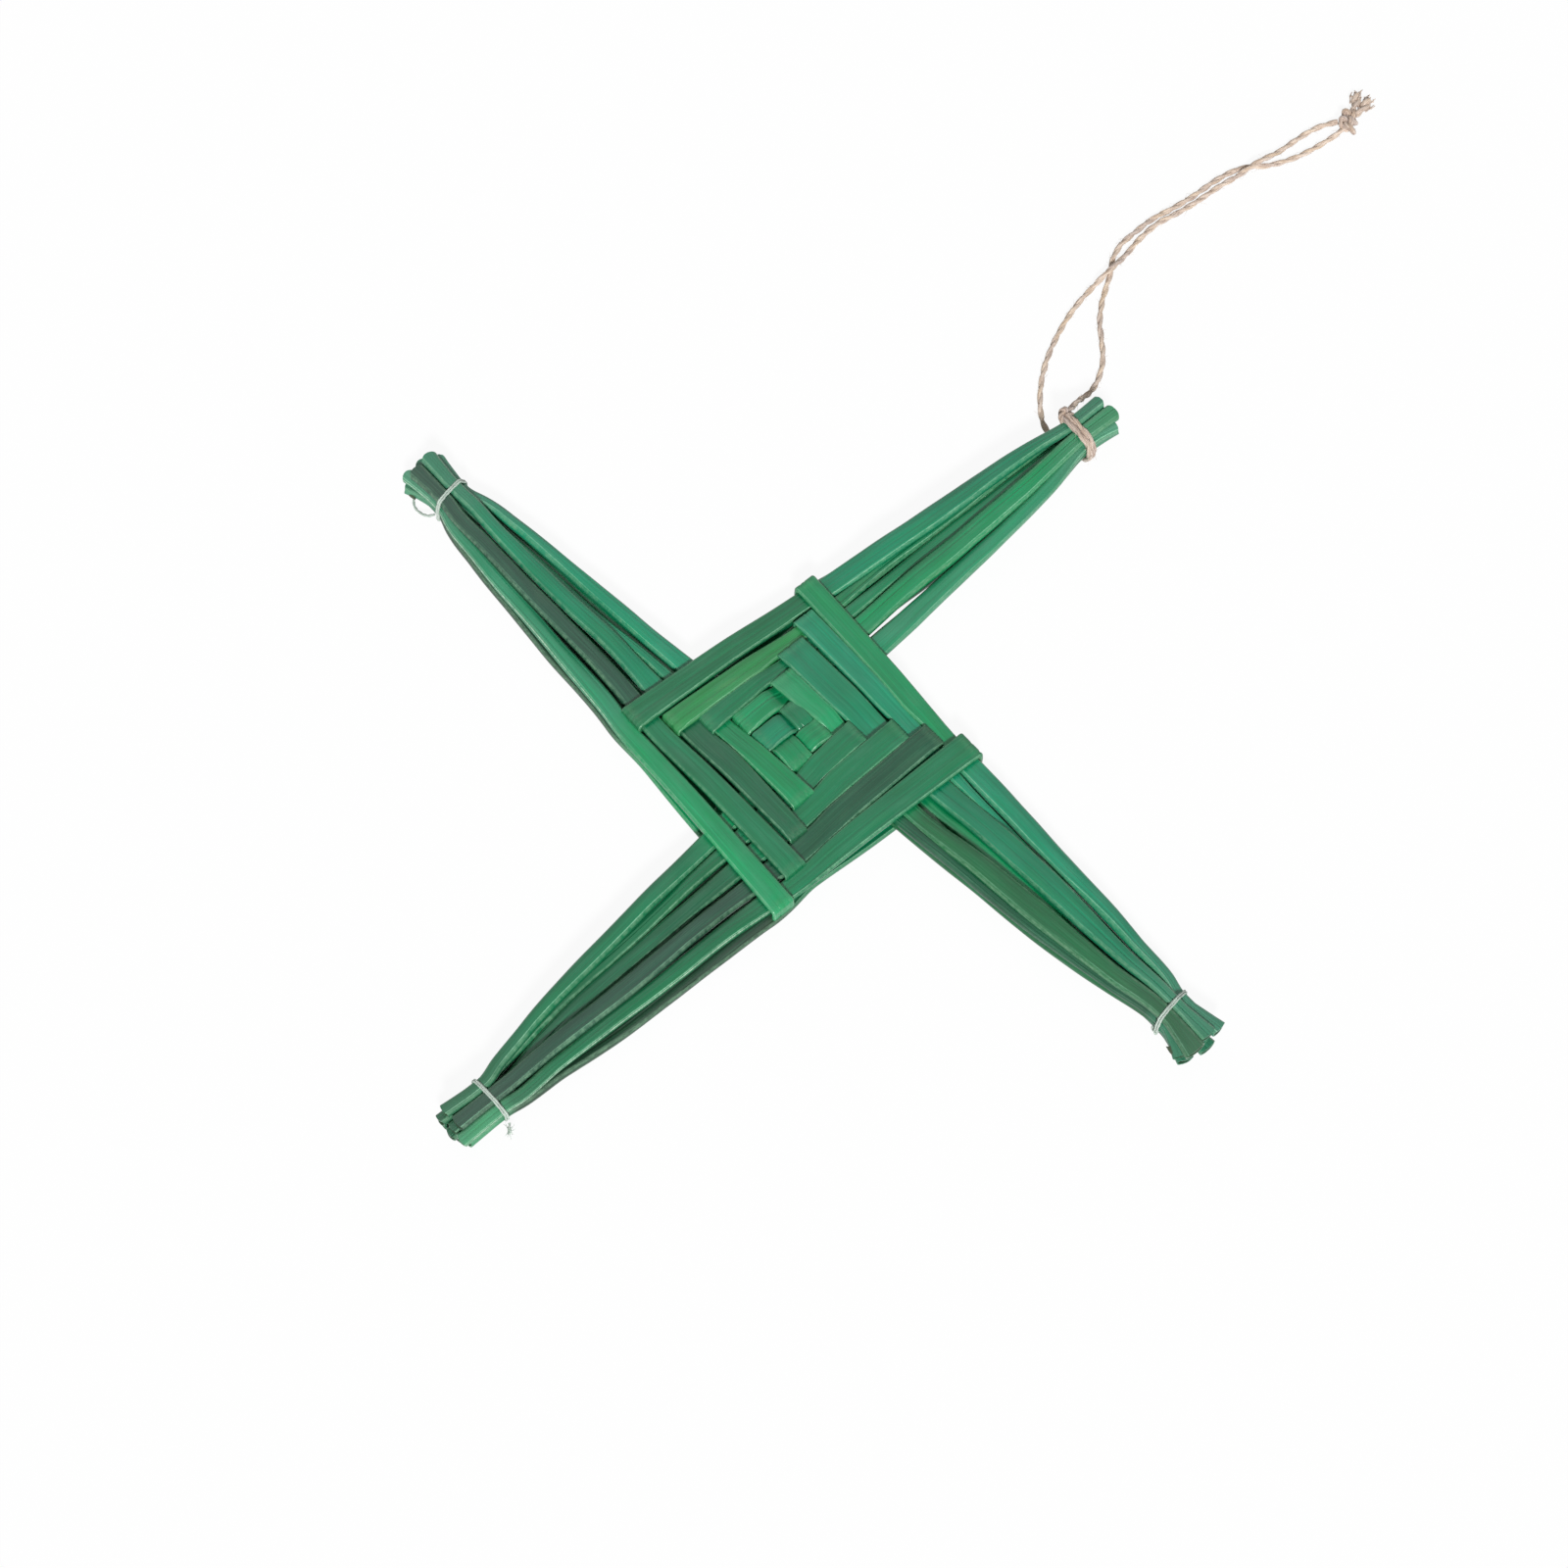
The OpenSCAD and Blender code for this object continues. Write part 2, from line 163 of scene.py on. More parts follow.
class Nodes:
    """The nodes of a material or a world, and short ways to add them."""

    def __init__(self, owner, output_kind):
        owner.use_nodes = True
        self.owner = owner
        self.tree = owner.node_tree
        self.tree.nodes.clear()
        self.output = self.tree.nodes.new("ShaderNode" + output_kind)

    def add(self, kind, inputs=None, output=0, **settings):
        node = self.tree.nodes.new("ShaderNode" + kind)
        for key, value in settings.items():
            setattr(node, key, value)
        for key, value in (inputs or {}).items():
            if is_socket(value):
                self.tree.links.new(value, node.inputs[key])
            else:
                node.inputs[key].default_value = value
        return node.outputs[output]

    def finish(self, kind, inputs):
        self.tree.links.new(self.add(kind, inputs), self.output.inputs[0])
        return self.owner

    def attribute(self, name, output="Fac"):
        return self.add("Attribute", attribute_name=name, output=output)

    def noise(self, vector, stretch, detail, roughness=0.55):
        drawn = self.add("Mapping", {"Vector": vector, "Scale": stretch})
        return self.add("TexNoise", {"Vector": drawn, "Scale": 1.0, "Detail": detail,
                                     "Roughness": roughness})

    def spread(self, value, low, high, to_low=0.0, to_high=1.0):
        return self.add("MapRange", {"Value": value, "From Min": low, "From Max": high,
                                     "To Min": to_low, "To Max": to_high})

    def fade(self, name, end):
        """1 where the attribute is 0, and the end value where it is 1."""
        return self.spread(self.attribute(name), 0.0, 1.0, 1.0, end)

    def math(self, operation, first, second=0.5):
        return self.add("Math", {0: first, 1: second}, operation=operation)

    def product(self, first, *others):
        for other in others:
            first = self.math("MULTIPLY", first, other)
        return first

    def blend(self, share, first, second, blend_type="MIX"):
        """Mixes two sockets or screen colours."""
        first, second = [end if is_socket(end) else colour(*end) for end in (first, second)]
        return self.add("Mix", {0: share, 6: first, 7: second}, output=2, data_type="RGBA",
                        blend_type=blend_type)

    def seen_directly(self):
        """1 for what the camera sees, also in a mirror or through glass."""
        rays = self.tree.nodes.new("ShaderNodeLightPath").outputs
        seen = self.math("MAXIMUM", rays["Is Camera Ray"], rays["Is Glossy Ray"])
        return self.math("MAXIMUM", seen, rays["Is Transmission Ray"])


# Screen colours of what lies over the dye of a straw: its grain, wear and creases, painted highlights along
# its edges, and painted shade in its bore
STREAKED = (172, 186, 174)
PLAIN = (255, 255, 255)
FINE_LINES = (90, 172, 130)
YELLOWED = (110, 168, 84)
# Paler edges: wear, with a painted highlight on them too
WORN_AND_LIT_EDGE = (138, 184, 148)
# Painted highlight along the raised edge of a straw
CREST_HIGHLIGHT = (150, 206, 172)
# Painted highlight along the outer edge of some straws
OUTER_EDGE_HIGHLIGHT = (206, 230, 208)
CREASED = (116, 166, 124)
# Painted shade inside a straw's cut end
PAINTED_BORE_SHADE = (58, 74, 50)

# Where the painted highlight line near the outer edge lies, from 0 in the middle to 1 at the edge
OUTER_HIGHLIGHT_AT = 0.86
NOISE_STEP = (37.7, 5.3, 11.1)


def straw_grain(look, seed):
    """The noises of a straw, drawn out along its fibres."""
    fibre = look.attribute("fibre", "Vector")
    shift = tuple(seed * step for step in NOISE_STEP)
    moved = look.add("VectorMath", {0: fibre, 1: shift}, operation="ADD")
    return {"streaks": look.noise(moved, (0.03, 3.1, 1), 5, 0.66),
            "lines": look.noise(moved, (0.08, 6.5, 1), 2, 0.5),
            "dye": look.noise(moved, (0.05, 0.32, 1), 2),
            "cloud": look.noise(moved, (0.11, 0.4, 2), 3),
            "specks": look.noise(moved, (0.9, 2.6, 1), 4, 0.7)}


def dyed(look, grain, shades, warmth):
    """The dye, in blotches, with its four shades."""
    in_weave, in_arm, on_back, in_tail = shades
    front = look.blend(look.attribute("arm"), in_weave, in_arm)
    own = look.blend(look.attribute("back"), front, on_back)
    own = look.blend(look.spread(look.attribute("tail"), 0.8, 1.0), own, in_tail)
    streaked = look.blend(look.spread(grain["streaks"], 0.34, 0.6), STREAKED, PLAIN)
    clouded = look.spread(grain["cloud"], 0.3, 0.7, 1.2, 1.1)
    varied = look.add("HueSaturation", {
        "Hue": look.spread(grain["cloud"], 0.25, 0.75, 0.493, 0.508),
        "Saturation": look.product(clouded, look.fade("tail", 0.8)),
        "Value": look.spread(grain["dye"], 0.28, 0.72, 0.8, 1.1),
        "Color": look.blend(0.5, own, streaked, "MULTIPLY")})
    lined = look.blend(look.spread(grain["lines"], 0.45, 0.7, 0.0, 0.13), varied, FINE_LINES)
    return look.blend(look.spread(grain["cloud"], 0.52, 0.8, 0.0, warmth * 0.5), lined, YELLOWED)


def thin_line(look, place, inner, outer, strength):
    far = look.math("ABSOLUTE", look.math("SUBTRACT", look.attribute("across"), place))
    return look.spread(far, inner, outer, strength, 0.0)


def painted_crest_highlight(look, grain, place, strength):
    """A painted highlight: a pale line along the raised edge, faint on the back half."""
    return look.product(thin_line(look, place, 0.01, 0.07, strength),
                        look.spread(grain["specks"], 0.3, 0.62, 0.35, 1.0),
                        look.spread(grain["dye"], 0.32, 0.62, 0.15, 1.0),
                        look.fade("back", 0.15),
                        look.fade("tail", 1.5))


def painted_outer_edge_highlight(look, grain, strength):
    """A painted highlight line near the outer edge of a front half, out in the arm."""
    return look.product(thin_line(look, OUTER_HIGHLIGHT_AT, 0.012, 0.04, strength),
                        look.spread(grain["specks"], 0.36, 0.6, 0.25, 1.0),
                        look.attribute("arm"),
                        look.fade("back", 0.0))


def wear_and_painted_highlights(look, grain, wear_and_highlights, own):
    """The dyed skin with its worn edges, which carry a painted highlight too, its painted highlight lines
    and its creased fold.
    """
    crest_highlight_at, crest_highlight, outer_highlight, edge_paling = wear_and_highlights
    edge_wear_and_highlight = look.spread(grain["specks"], 0.35, 0.7, 0.05 * edge_paling, 0.55 * edge_paling)
    # Pales the corners of the section, for wear and as a painted highlight
    own = look.blend(look.product(look.attribute("edge"), edge_wear_and_highlight), own, WORN_AND_LIT_EDGE)
    # Paints a pale highlight along the raised edge, which faces the camera and the key light
    own = look.blend(painted_crest_highlight(look, grain, crest_highlight_at, crest_highlight), own, CREST_HIGHLIGHT)
    if outer_highlight > 0:
        # Paints a pale highlight line along the outer edge
        own = look.blend(painted_outer_edge_highlight(look, grain, outer_highlight), own, OUTER_EDGE_HIGHLIGHT)
    creased = look.product(look.attribute("fold"), look.spread(grain["specks"], 0.35, 0.7, 0.0, 0.25))
    return look.blend(creased, own, CREASED)


def straw_material(name, shades, warmth, seed, wear_and_highlights):
    """Dyed straw, satin, with lengthwise grain."""
    look = Nodes(bpy.data.materials.new(name), "OutputMaterial")
    grain = straw_grain(look, seed)
    skin = wear_and_painted_highlights(look, grain, wear_and_highlights, dyed(look, grain, shades, warmth))
    height = look.math("ADD", grain["streaks"], look.product(grain["lines"], 0.5))
    return look.finish("BsdfPrincipled", {
        # Painted shade darkens the bore of each cut end
        "Base Color": look.blend(look.attribute("inside"), skin, PAINTED_BORE_SHADE),
        "Roughness": look.spread(grain["streaks"], 0.3, 0.7, 0.36, 0.24),
        "Specular IOR Level": 0.45,
        "Normal": look.add("Bump", {"Strength": 0.32, "Distance": 0.0001, "Height": height})})


def yarn_material(name, dark, mid, light, fibres, roughness):
    """Spun fibre, in strands of slightly different colour."""
    look = Nodes(bpy.data.materials.new(name), "OutputMaterial")
    fibre = look.attribute("fibre", "Vector")
    hairs = look.noise(fibre, (0.5, fibres, 1), 3, 0.65)
    broad = look.noise(fibre, (0.16, 0.5, 1), 2)
    low = look.blend(look.spread(hairs, 0.34, 0.54), dark, mid)
    varied = look.add("HueSaturation", {
        "Hue": look.spread(broad, 0.3, 0.7, 0.49, 0.51),
        "Saturation": look.spread(broad, 0.3, 0.7, 0.8, 1.15),
        "Value": look.spread(broad, 0.3, 0.7, 0.9, 1.1),
        "Color": look.blend(look.spread(hairs, 0.52, 0.72), low, light)})
    return look.finish("BsdfPrincipled", {
        "Base Color": varied,
        "Roughness": look.spread(hairs, 0.3, 0.7, roughness + 0.08, roughness - 0.12),
        "Specular IOR Level": 0.25,
        "Sheen Weight": 0.15, "Sheen Roughness": 0.6,
        "Normal": look.add("Bump", {"Strength": 0.7, "Distance": 0.00012, "Height": hairs})})


def jute_material():
    return yarn_material("jute", (178, 154, 136), (214, 194, 177), (236, 220, 205), 5.0, 0.85)


def binding_material():
    return yarn_material("jute_tied", (156, 133, 119), (200, 180, 166), (224, 209, 197), 5.0, 0.85)


def thread_material():
    return yarn_material("thread", (172, 187, 177), (190, 204, 193), (210, 221, 211), 9.0, 0.7)


# Twine and thread

TWINE_D = 1.3
TWINE_LAY = 7.2
THREAD_D = 0.5
THREAD_LAY = 4.6
CLOSE_LAY = 3.0
PLIES = 2
PLY_SIDES = 10
THREAD_SIDES = 8
KNOT_SIDES = 9
HAIR_SIDES = 3

PLY_RADIUS = 0.33
PLY_APART = 0.165
HAIR_FLOOR = 0.05
HAIR_TOP = 10.05
HAIR_FROM = 0.36
HAIR_TAPER = 0.6
TUBE_SHARP = 80

# How far apart the fibres of two tubes are for the material
TUBE_SHIFT = 13.7
PLY_SHIFT = 3.1


def metres(*points):
    """A route in metres, from points in tenths of a millimetre."""
    return [tuple(value / 10000 for value in point) for point in points]


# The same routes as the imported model's
UPPER_ROUTE = metres(
    (885, 165, 7), (885, 190, 7), (892, 220, 7), (904, 250, 7), (928, 282, 7), (960, 314, 7),
    (998, 343, 7), (1045, 370, 7), (1105, 396, 7), (1165, 414, 7), (1215, 421, 12), (1250, 423, 22),
    (1280, 426, 21), (1320, 435, 10), (1375, 447, 7), (1430, 450, 7), (1480, 442, 7), (1535, 436, 7),
    (1595, 433, 7), (1640, 426, 10), (1680, 419, 22), (1715, 415, 21), (1755, 413, 10), (1800, 412, 7),
    (1845, 409, 7), (1880, 400, 9), (1909, 384, 14))
LOWER_ROUTE = metres(
    (948, 209, 64), (970, 216, 52), (996, 223, 32), (1025, 231, 15), (1055, 243, 7), (1088, 263, 7),
    (1112, 286, 7), (1133, 312, 7), (1160, 346, 7), (1195, 378, 7), (1232, 403, 7), (1265, 424, 7),
    (1292, 446, 7), (1330, 462, 7), (1380, 466, 7), (1430, 466, 7), (1480, 458, 7), (1535, 452, 7),
    (1595, 450, 7), (1645, 443, 7), (1682, 428, 7), (1710, 407, 7), (1745, 390, 7), (1790, 376, 7),
    (1840, 368, 7), (1880, 364, 9), (1909, 364, 14))
TWINE_END_ROUTES = [
    metres((1956, 383, 17), (1974, 394, 14), (1992, 407, 10)),
    metres((1957, 370, 17), (1980, 374, 14), (2001, 381, 10))]
KNOT_AT = (0.1933, 0.0374, 0.0019)
NORTH_END_ROUTE = metres(
    (-205, 885, 36), (-214, 898, 24), (-218, 918, 14), (-217, 938, 8), (-208, 955, 5), (-193, 966, 4),
    (-172, 968, 4))
WEST_END_ROUTE = metres(
    (-909, -236, 24), (-915, -243, 22), (-921, -250, 17))

# How far apart the rings of a tube are
STEP = 0.3
KNOT_STEP = 0.25
THREAD_STEP = 0.2
LUMP_STEP = 0.12


def distances(path):
    return np.concatenate([[0], np.cumsum(np.linalg.norm(np.diff(path, axis=0), axis=1))])


def resample(path, step):
    far = distances(path)
    count = max(4, int(round(far[-1] / step)) + 1)
    at = np.linspace(0, far[-1], count)
    return np.stack([np.interp(at, far, path[:, k]) for k in range(3)], axis=1)


def smooth_path(points, step):
    ends = np.asarray(points, float)
    ends = np.vstack([2 * ends[0] - ends[1], ends, 2 * ends[-1] - ends[-2]])
    t = np.linspace(0, 1, 24, endpoint=False)[:, None]
    fine = []
    for i in range(1, len(ends) - 2):
        a, b, c, d = ends[i - 1:i + 3]
        fine.append(0.5 * (2 * b + (c - a) * t + (2 * a - 5 * b + 4 * c - d) * t ** 2
                           + (3 * b - a - 3 * c + d) * t ** 3))
    return resample(np.vstack(fine + [ends[-2][None]]), step)


def path_frames(path):
    """Directions along a path, and two square to it that turn little."""
    ahead = unit(np.gradient(path, axis=0))
    side = np.zeros_like(ahead)
    first = np.cross(ahead[0], [0, 0, 1])
    side[0] = unit(first if np.linalg.norm(first) > 0.1 else np.cross(ahead[0], [0, 1, 0]))
    for i in range(1, len(path)):
        side[i] = unit(side[i - 1] - ahead[i] * np.dot(side[i - 1], ahead[i]))
    return ahead, side, np.cross(ahead, side)


class Tubes:
    """Tubes in one mesh."""

    def __init__(self):
        self.points, self.faces, self.fibre, self.count = [], [], [], 0

    def add(self, path, radii, sides, across):
        _, side, other = path_frames(path)
        angles = np.arange(sides) / sides * math.tau
        c, s = np.cos(angles), np.sin(angles)
        radii = np.broadcast_to(radii, (len(path),))[:, None]
        ring = side[:, None] * c[:, None] + other[:, None] * s[:, None]
        points = path[:, None] + ring * radii[..., None]
        far = distances(path)[:, None] + across * TUBE_SHIFT
        fibre = np.stack([far + 0 * c, c * radii + across, s * radii], axis=2)
        self.faces += skin_faces(len(path), sides, self.count)
        self.points.append(points.reshape(-1, 3))
        self.fibre.append(fibre.reshape(-1, 3))
        self.count += len(path) * sides

    def piece(self, name, material):
        attributes = {"fibre": np.vstack(self.fibre)}
        return mesh_piece(name, np.vstack(self.points), self.faces, attributes, material, TUBE_SHARP)


def add_plies(tubes, path, diameter, lay, rng, sides=PLY_SIDES, swell=1.0, apart=1.0):
    """Twists two plies round the path."""
    _, side, other = path_frames(path)
    far = distances(path)
    for k in range(PLIES):
        uneven = waves(rng, (3.1, 7.7, 1.3), (0.05, 0.06, 0.03))(far)
        radius = diameter * PLY_RADIUS * (1 + uneven) * swell
        turn = math.tau * (far / lay + k / PLIES)[:, None]
        offset = (side * np.cos(turn) + other * np.sin(turn)) * (diameter * PLY_APART * apart)
        tubes.add(path + offset * np.reshape(swell, (-1, 1)), radius, sides, PLY_SHIFT * k)


def add_hairs(tubes, path, diameter, count, rng, reach=1.6, thickness=0.035):
    ahead, side, other = path_frames(path)
    for _ in range(count):
        i = int(rng.integers(1, len(path) - 1))
        turn = rng.uniform(0, math.tau)
        out = side[i] * math.cos(turn) + other[i] * math.sin(turn)
        run = ahead[i] * rng.choice([-1.0, 1.0]) * rng.uniform(0.5, 1.3)
        bend = unit(rng.normal(size=3)) * 0.5
        length = reach * rng.uniform(0.35, 1.0) ** 1.5
        t = np.linspace(0, 1, 5)[:, None]
        start = path[i] + out * diameter * HAIR_FROM
        hair = start + (run * 0.8 + out * 0.35) * length * t + (bend + out * 0.3) * length * 0.6 * t ** 2
        hair[:, 2] = np.clip(hair[:, 2], HAIR_FLOOR, HAIR_TOP)
        tubes.add(hair, thickness * (1 - HAIR_TAPER * t[:, 0]), HAIR_SIDES, rng.uniform(0, 9))


def route_mm(route, step=STEP):
    return smooth_path(np.asarray(route) / MM, step)


def trefoil(half_length, half_width, half_height, phase=0.0):
    """The path of an overhand knot."""
    t = np.linspace(0, math.tau, 90) + phase
    x = (np.cos(t) - 2 * np.cos(2 * t)) / 2.6 * half_length
    y = (np.sin(t) + 2 * np.sin(2 * t)) / 2.75 * half_width
    return np.stack([x, y, -np.sin(3 * t) * half_height], axis=1)


def placed(points, at, turn):
    c, s = math.cos(turn), math.sin(turn)
    x, y = points[:, 0], points[:, 1]
    return np.stack([x * c - y * s, x * s + y * c, points[:, 2]], axis=1) + at


def add_strand(name, route, material, rng):
    path = route_mm(route)
    tubes = Tubes()
    add_plies(tubes, path, TWINE_D, TWINE_LAY, rng)
    add_hairs(tubes, path, TWINE_D, STRAND_HAIRS, rng)
    strand = tubes.piece(name + "_twine", material)
    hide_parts(name)
    return strand


# Each loop of a knot: its phase, and where it lies from the knot's middle
HANGING_LOOPS = ((0.0, (-1.7, -1.0, 0.25)), (1.1, (-1.5, -1.2, -0.35)), (2.3, (0.4, 0.1, -0.2)))
BINDING_LOOPS = ((0.0, (0.0, 0.3, 0.1)), (1.3, (0.4, 0.2, -0.5)))


def add_knot(tubes, loops, half_sizes, at, turn, diameter, lay, hair_d, hairs, rng):
    for phase, shift in loops:
        path = resample(placed(trefoil(*half_sizes, phase), at + shift, turn), KNOT_STEP)
        add_plies(tubes, path, diameter, lay, rng, KNOT_SIDES)
        add_hairs(tubes, path, hair_d, hairs, rng, reach=1.3)


def add_hanging_knot(material, rng):
    tubes = Tubes()
    add_knot(tubes, HANGING_LOOPS, (1.75, 1.05, 0.75), np.array(KNOT_AT) / MM, math.radians(80),
             1.25, 4.0, 1.2, 26, rng)
    knot = tubes.piece("hanging_knot_twine", material)
    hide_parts("hanging_knot")
    return knot


SPRAY_HAIRS = 80
SPRAY_FLOOR = 0.06
SPRAY_THICKNESS = 0.17
STRAND_HAIRS = 260
LOOP_SEED = 11


def add_spray(tubes, path, rng):
    ahead = unit(path[-1] - path[-4])
    for _ in range(SPRAY_HAIRS):
        spray = unit(ahead + rng.normal(size=3) * (0.17, 0.17, 0.12))
        length = rng.uniform(0.8, 1.9)
        t = np.linspace(0, 1, 6)[:, None]
        start = path[int(rng.integers(len(path) // 2, len(path) - 2))]
        start = start + rng.normal(size=3) * (0.5, 0.5, 0.3)
        hair = start + spray * length * t + rng.normal(size=3) * 0.2 * t ** 2
        hair[:, 2] = np.maximum(hair[:, 2], SPRAY_FLOOR)
        tubes.add(hair, SPRAY_THICKNESS * (1 - 0.5 * t[:, 0]), 4, rng.uniform(0, 9))


def add_twine_ends(material, rng):
    """The two ends beyond the knot, which come apart into fibres."""
    tubes = Tubes()
    knot = np.array(KNOT_AT) / MM
    for route in TWINE_END_ROUTES:
        points = np.asarray(route) / MM
        path = smooth_path(np.vstack([mix(points[0], knot, 0.35), points]), KNOT_STEP)
        swell = 1.2 + 0.5 * ease(0.2, 0.8, np.linspace(0, 1, len(path)))
        add_plies(tubes, path, TWINE_D * 0.95, TWINE_LAY, rng, swell=swell, apart=1.2)
        add_hairs(tubes, path, TWINE_D, 40, rng, reach=1.4)
        add_spray(tubes, path, rng)
    ends = tubes.piece("hanging_twine_ends_frayed", material)
    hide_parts("hanging_twine_ends")
    return ends


def add_hanging_loop(material, knot_material):
    rng = np.random.default_rng(LOOP_SEED)
    upper = add_strand("hanging_strand_upper", UPPER_ROUTE, material, rng)
    lower = add_strand("hanging_strand_lower", LOWER_ROUTE, material, rng)
    knot = add_hanging_knot(knot_material, rng)
    ends = add_twine_ends(material, rng)


# The weave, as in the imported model

EAST, SOUTH, WEST, NORTH = 0, 1, 2, 3
ARM_NAMES = ("east", "south", "west", "north")
STRAWS = 5
PITCH = 5.3

# The room of each straw, as a share of the pitch
ROOM = ((1.04, 1, 0.8, 0.8, 1.02), (0.7, 0.98, 1.23, 0.87, 1.04),
        (0.9, 1.04, 0.98, 1.06, 1.13), (1.08, 1, 1.08, 1.1, 1.1))

# For each arm, how far out its tie is, how far to the side, and how its ends spread
REACH = (89.0, 90.0, 93.0, 87.5)
SIDE = (14.0, 16.0, 19.8, 17.8)
TAIL = (9.0, 9.8, 10.0, 10.8)
TAIL_SPREAD = (0.08, 0.42, 0.06, 0.22)
TIP_ROUND = (0.7, 0.3, 0.4, 0.9)

# How much shorter than the longest each straw is cut
CUT_FRONT = (1.4, 0, 0.7, 1.8, 0.5)
CUT_BACK = (0.6, 1.2, 0, 0.9, 1.6)

# The middle of the weave, and how the arms draw in from there
WEAVE_AT = np.array([1.85, 1.25, 4.295])
ARM_FROM = 1.5 * PITCH
TIE_STRAIGHT = 2.4
NECK_STRAIGHT = 0.8
RISE_RUN = 20.0
RISE_FROM = 1.0
LEAVE_RUN = 8.0
DRAW_IN_POWER = 0.7

# What the eye sees is closer set than the solids: wider straws and thinner, sharper folds
SIDE_GAP = 0.06
STRAW_T = 1.42
FOLD_T = 0.6
OUTER_FOLD_T = 0.95
FOLD_GAP = 0.04
FOLD_R = 0.42
Z_INNER = 0.775
Z_OUTER = 2.325
Z_FOLD = 2.42
NOTCH_RUN = 6.5
NOTCH_SHARE = 0.45
MIDDLE_NOTCH = 0.3
MIDDLE_STEP = 1.2
BACK_WIDER = 0.15
NECK_T = 1.66
FOLD_SLOPE = 2.0
CORNER_R = 0.52
NECK_CORNER_R = 0.72
WEAVE_CROWN = 0.12
ARM_CROWN = 0.6
NECK_CROWN = 0.12

# How each straw lies in the weave: moved sidewise, sloped, widened, and widened along its way
LEAN = (
    ((0.15, 0, -0.05, 0), (0.3, 0, 0.2, 0.04), (0.2, 0.01, -0.2, -0.05), (-0.1, -0.035, 0.4, -0.035),
     (0.7, -0.043, -0.2, -0.03)),
    ((0.7, 0, 0.6, 0), (0.3, 0.058, -0.25, -0.04), (-0.05, 0.03, 0.1, 0), (0.35, 0, 0, -0.02),
     (-0.4, -0.041, -0.7, -0.01)),
    ((0.2, 0, 0.7, 0), (0.7, 0.075, 0, -0.02), (0.45, 0.033, 0.45, 0), (0.35, 0.035, -0.1, 0),
     (0, -0.014, -0.4, -0.035)),
    ((0.5, 0, 0, 0), (0.65, 0.055, -0.3, -0.05), (0.26, 0, -0.6, 0.045), (0.05, 0.013, -1.0, -0.018),
     (-0.12, -0.035, -1.15, -0.024)))

# Where each straw runs in its arm: sidewise at three distances out, then its width at two
OUT_AT = (28.0, 50.0, 78.0)
WIDE_AT = (28.0, 60.0)
ARM_RUN = (
    ((4.45, 6.1, 9.3, 4.8, 3.7), (9.9, 10.2, 11.9, 4.55, 4.6), (13.85, 13.9, 14.2, 2.9, 3.4),
     (16.95, 17.0, 17.0, 2.9, 3.6), (20.9, 18.6, 17.3, 4.75, 4.5)),
    ((3.45, 6.55, 10.9, 2.4, 3.6), (6.2, 8.55, 12.0, 3.9, 4.7), (13.8, 15.1, 15.95, 5.2, 5.0),
     (17.65, 16.9, 16.3, 2.5, 3.6), (21.45, 20.7, 19.75, 4.7, 3.9)),
    ((6.15, 9.25, 13.65, 4.0, 3.5), (9.95, 11.6, 14.4, 3.1, 3.4), (14.2, 15.2, 17.0, 4.0, 3.9),
     (18.75, 19.55, 19.75, 4.0, 3.9), (23.35, 23.0, 22.5, 4.3, 3.4)),
    ((6.75, 9.2, 12.65, 4.0, 3.1), (10.75, 13.6, 16.0, 2.4, 3.4), (14.35, 15.4, 16.15, 4.5, 3.8),
     (19.35, 19.75, 19.8, 4.0, 3.6), (24.1, 23.2, 21.75, 4.1, 3.3)))

# Where every straw ends up at its neck: across the arm, its layer from 0 to 1, and its width
NECKS = (
    ((-2.6, 0, 2.8), (-1.3, 1, 3.6), (0.1, 0, 2.7), (2.7, 0, 2.7), (2.1, 1, 3.0)),
    ((-2.9, 0, 2.7), (-2.2, 1, 3.3), (0.7, 1, 2.8), (-0.1, 0, 2.7), (2.7, 0.25, 2.8)),
    ((-2.7, 1, 2.8), (-2.7, 0, 2.6), (0.0, 0, 2.7), (0.3, 1, 3.3), (2.8, 0.2, 2.8)),
    ((-3.1, 0, 2.6), (-0.3, 0, 2.7), (-1.6, 1, 3.1), (1.7, 1, 3.2), (2.7, 0.1, 2.6)))
NECK_Z = (0.9, 2.73)

# How much wider each arm is before its tie, on its low and its high side
SHOULDER = ((0.0, 0.04), (0.0, 0.24), (0.25, 0.17), (0.16, 0.2))
SHOULDER_PEAK = 5.5
SHOULDER_RUN = 9
SHOULDER_END = 0.5


def after(arm):
    return (arm + 1) % 4


def before(arm):
    return (arm + 3) % 4


def line(arm, j):
    """The border beyond straw j of an arm."""
    return PITCH * sum(ROOM[arm][:max(0, j)])


def middle(arm, j):
    return (line(arm, j - 1) + line(arm, j)) / 2


def width(arm, j):
    return line(arm, j) - line(arm, j - 1) - SIDE_GAP


def folded_round(arm, j):
    """The straw that straw j is folded round."""
    return max(1, j - 1) if arm == EAST else j


def fold_thickness(j):
    return OUTER_FOLD_T if j == STRAWS else FOLD_T


def fold_wall(arm, j):
    """Where the upright part of a fold stands."""
    round_edge = float(outer_edge(before(arm), folded_round(arm, j), middle(arm, j)))
    return -round_edge - FOLD_GAP - fold_thickness(j) / 2


def down_by(arm, j):
    """Where a straw has reached the lower layer."""
    if arm == NORTH:
        return 0 if j == 1 else line(EAST, j)
    return line(after(arm), j - 1)


def notch_span(arm, j):
    if j == 1:
        return -line(before(arm), folded_round(arm, 1)), line(after(arm), 1)
    return down_by(arm, j - 1), down_by(arm, j)


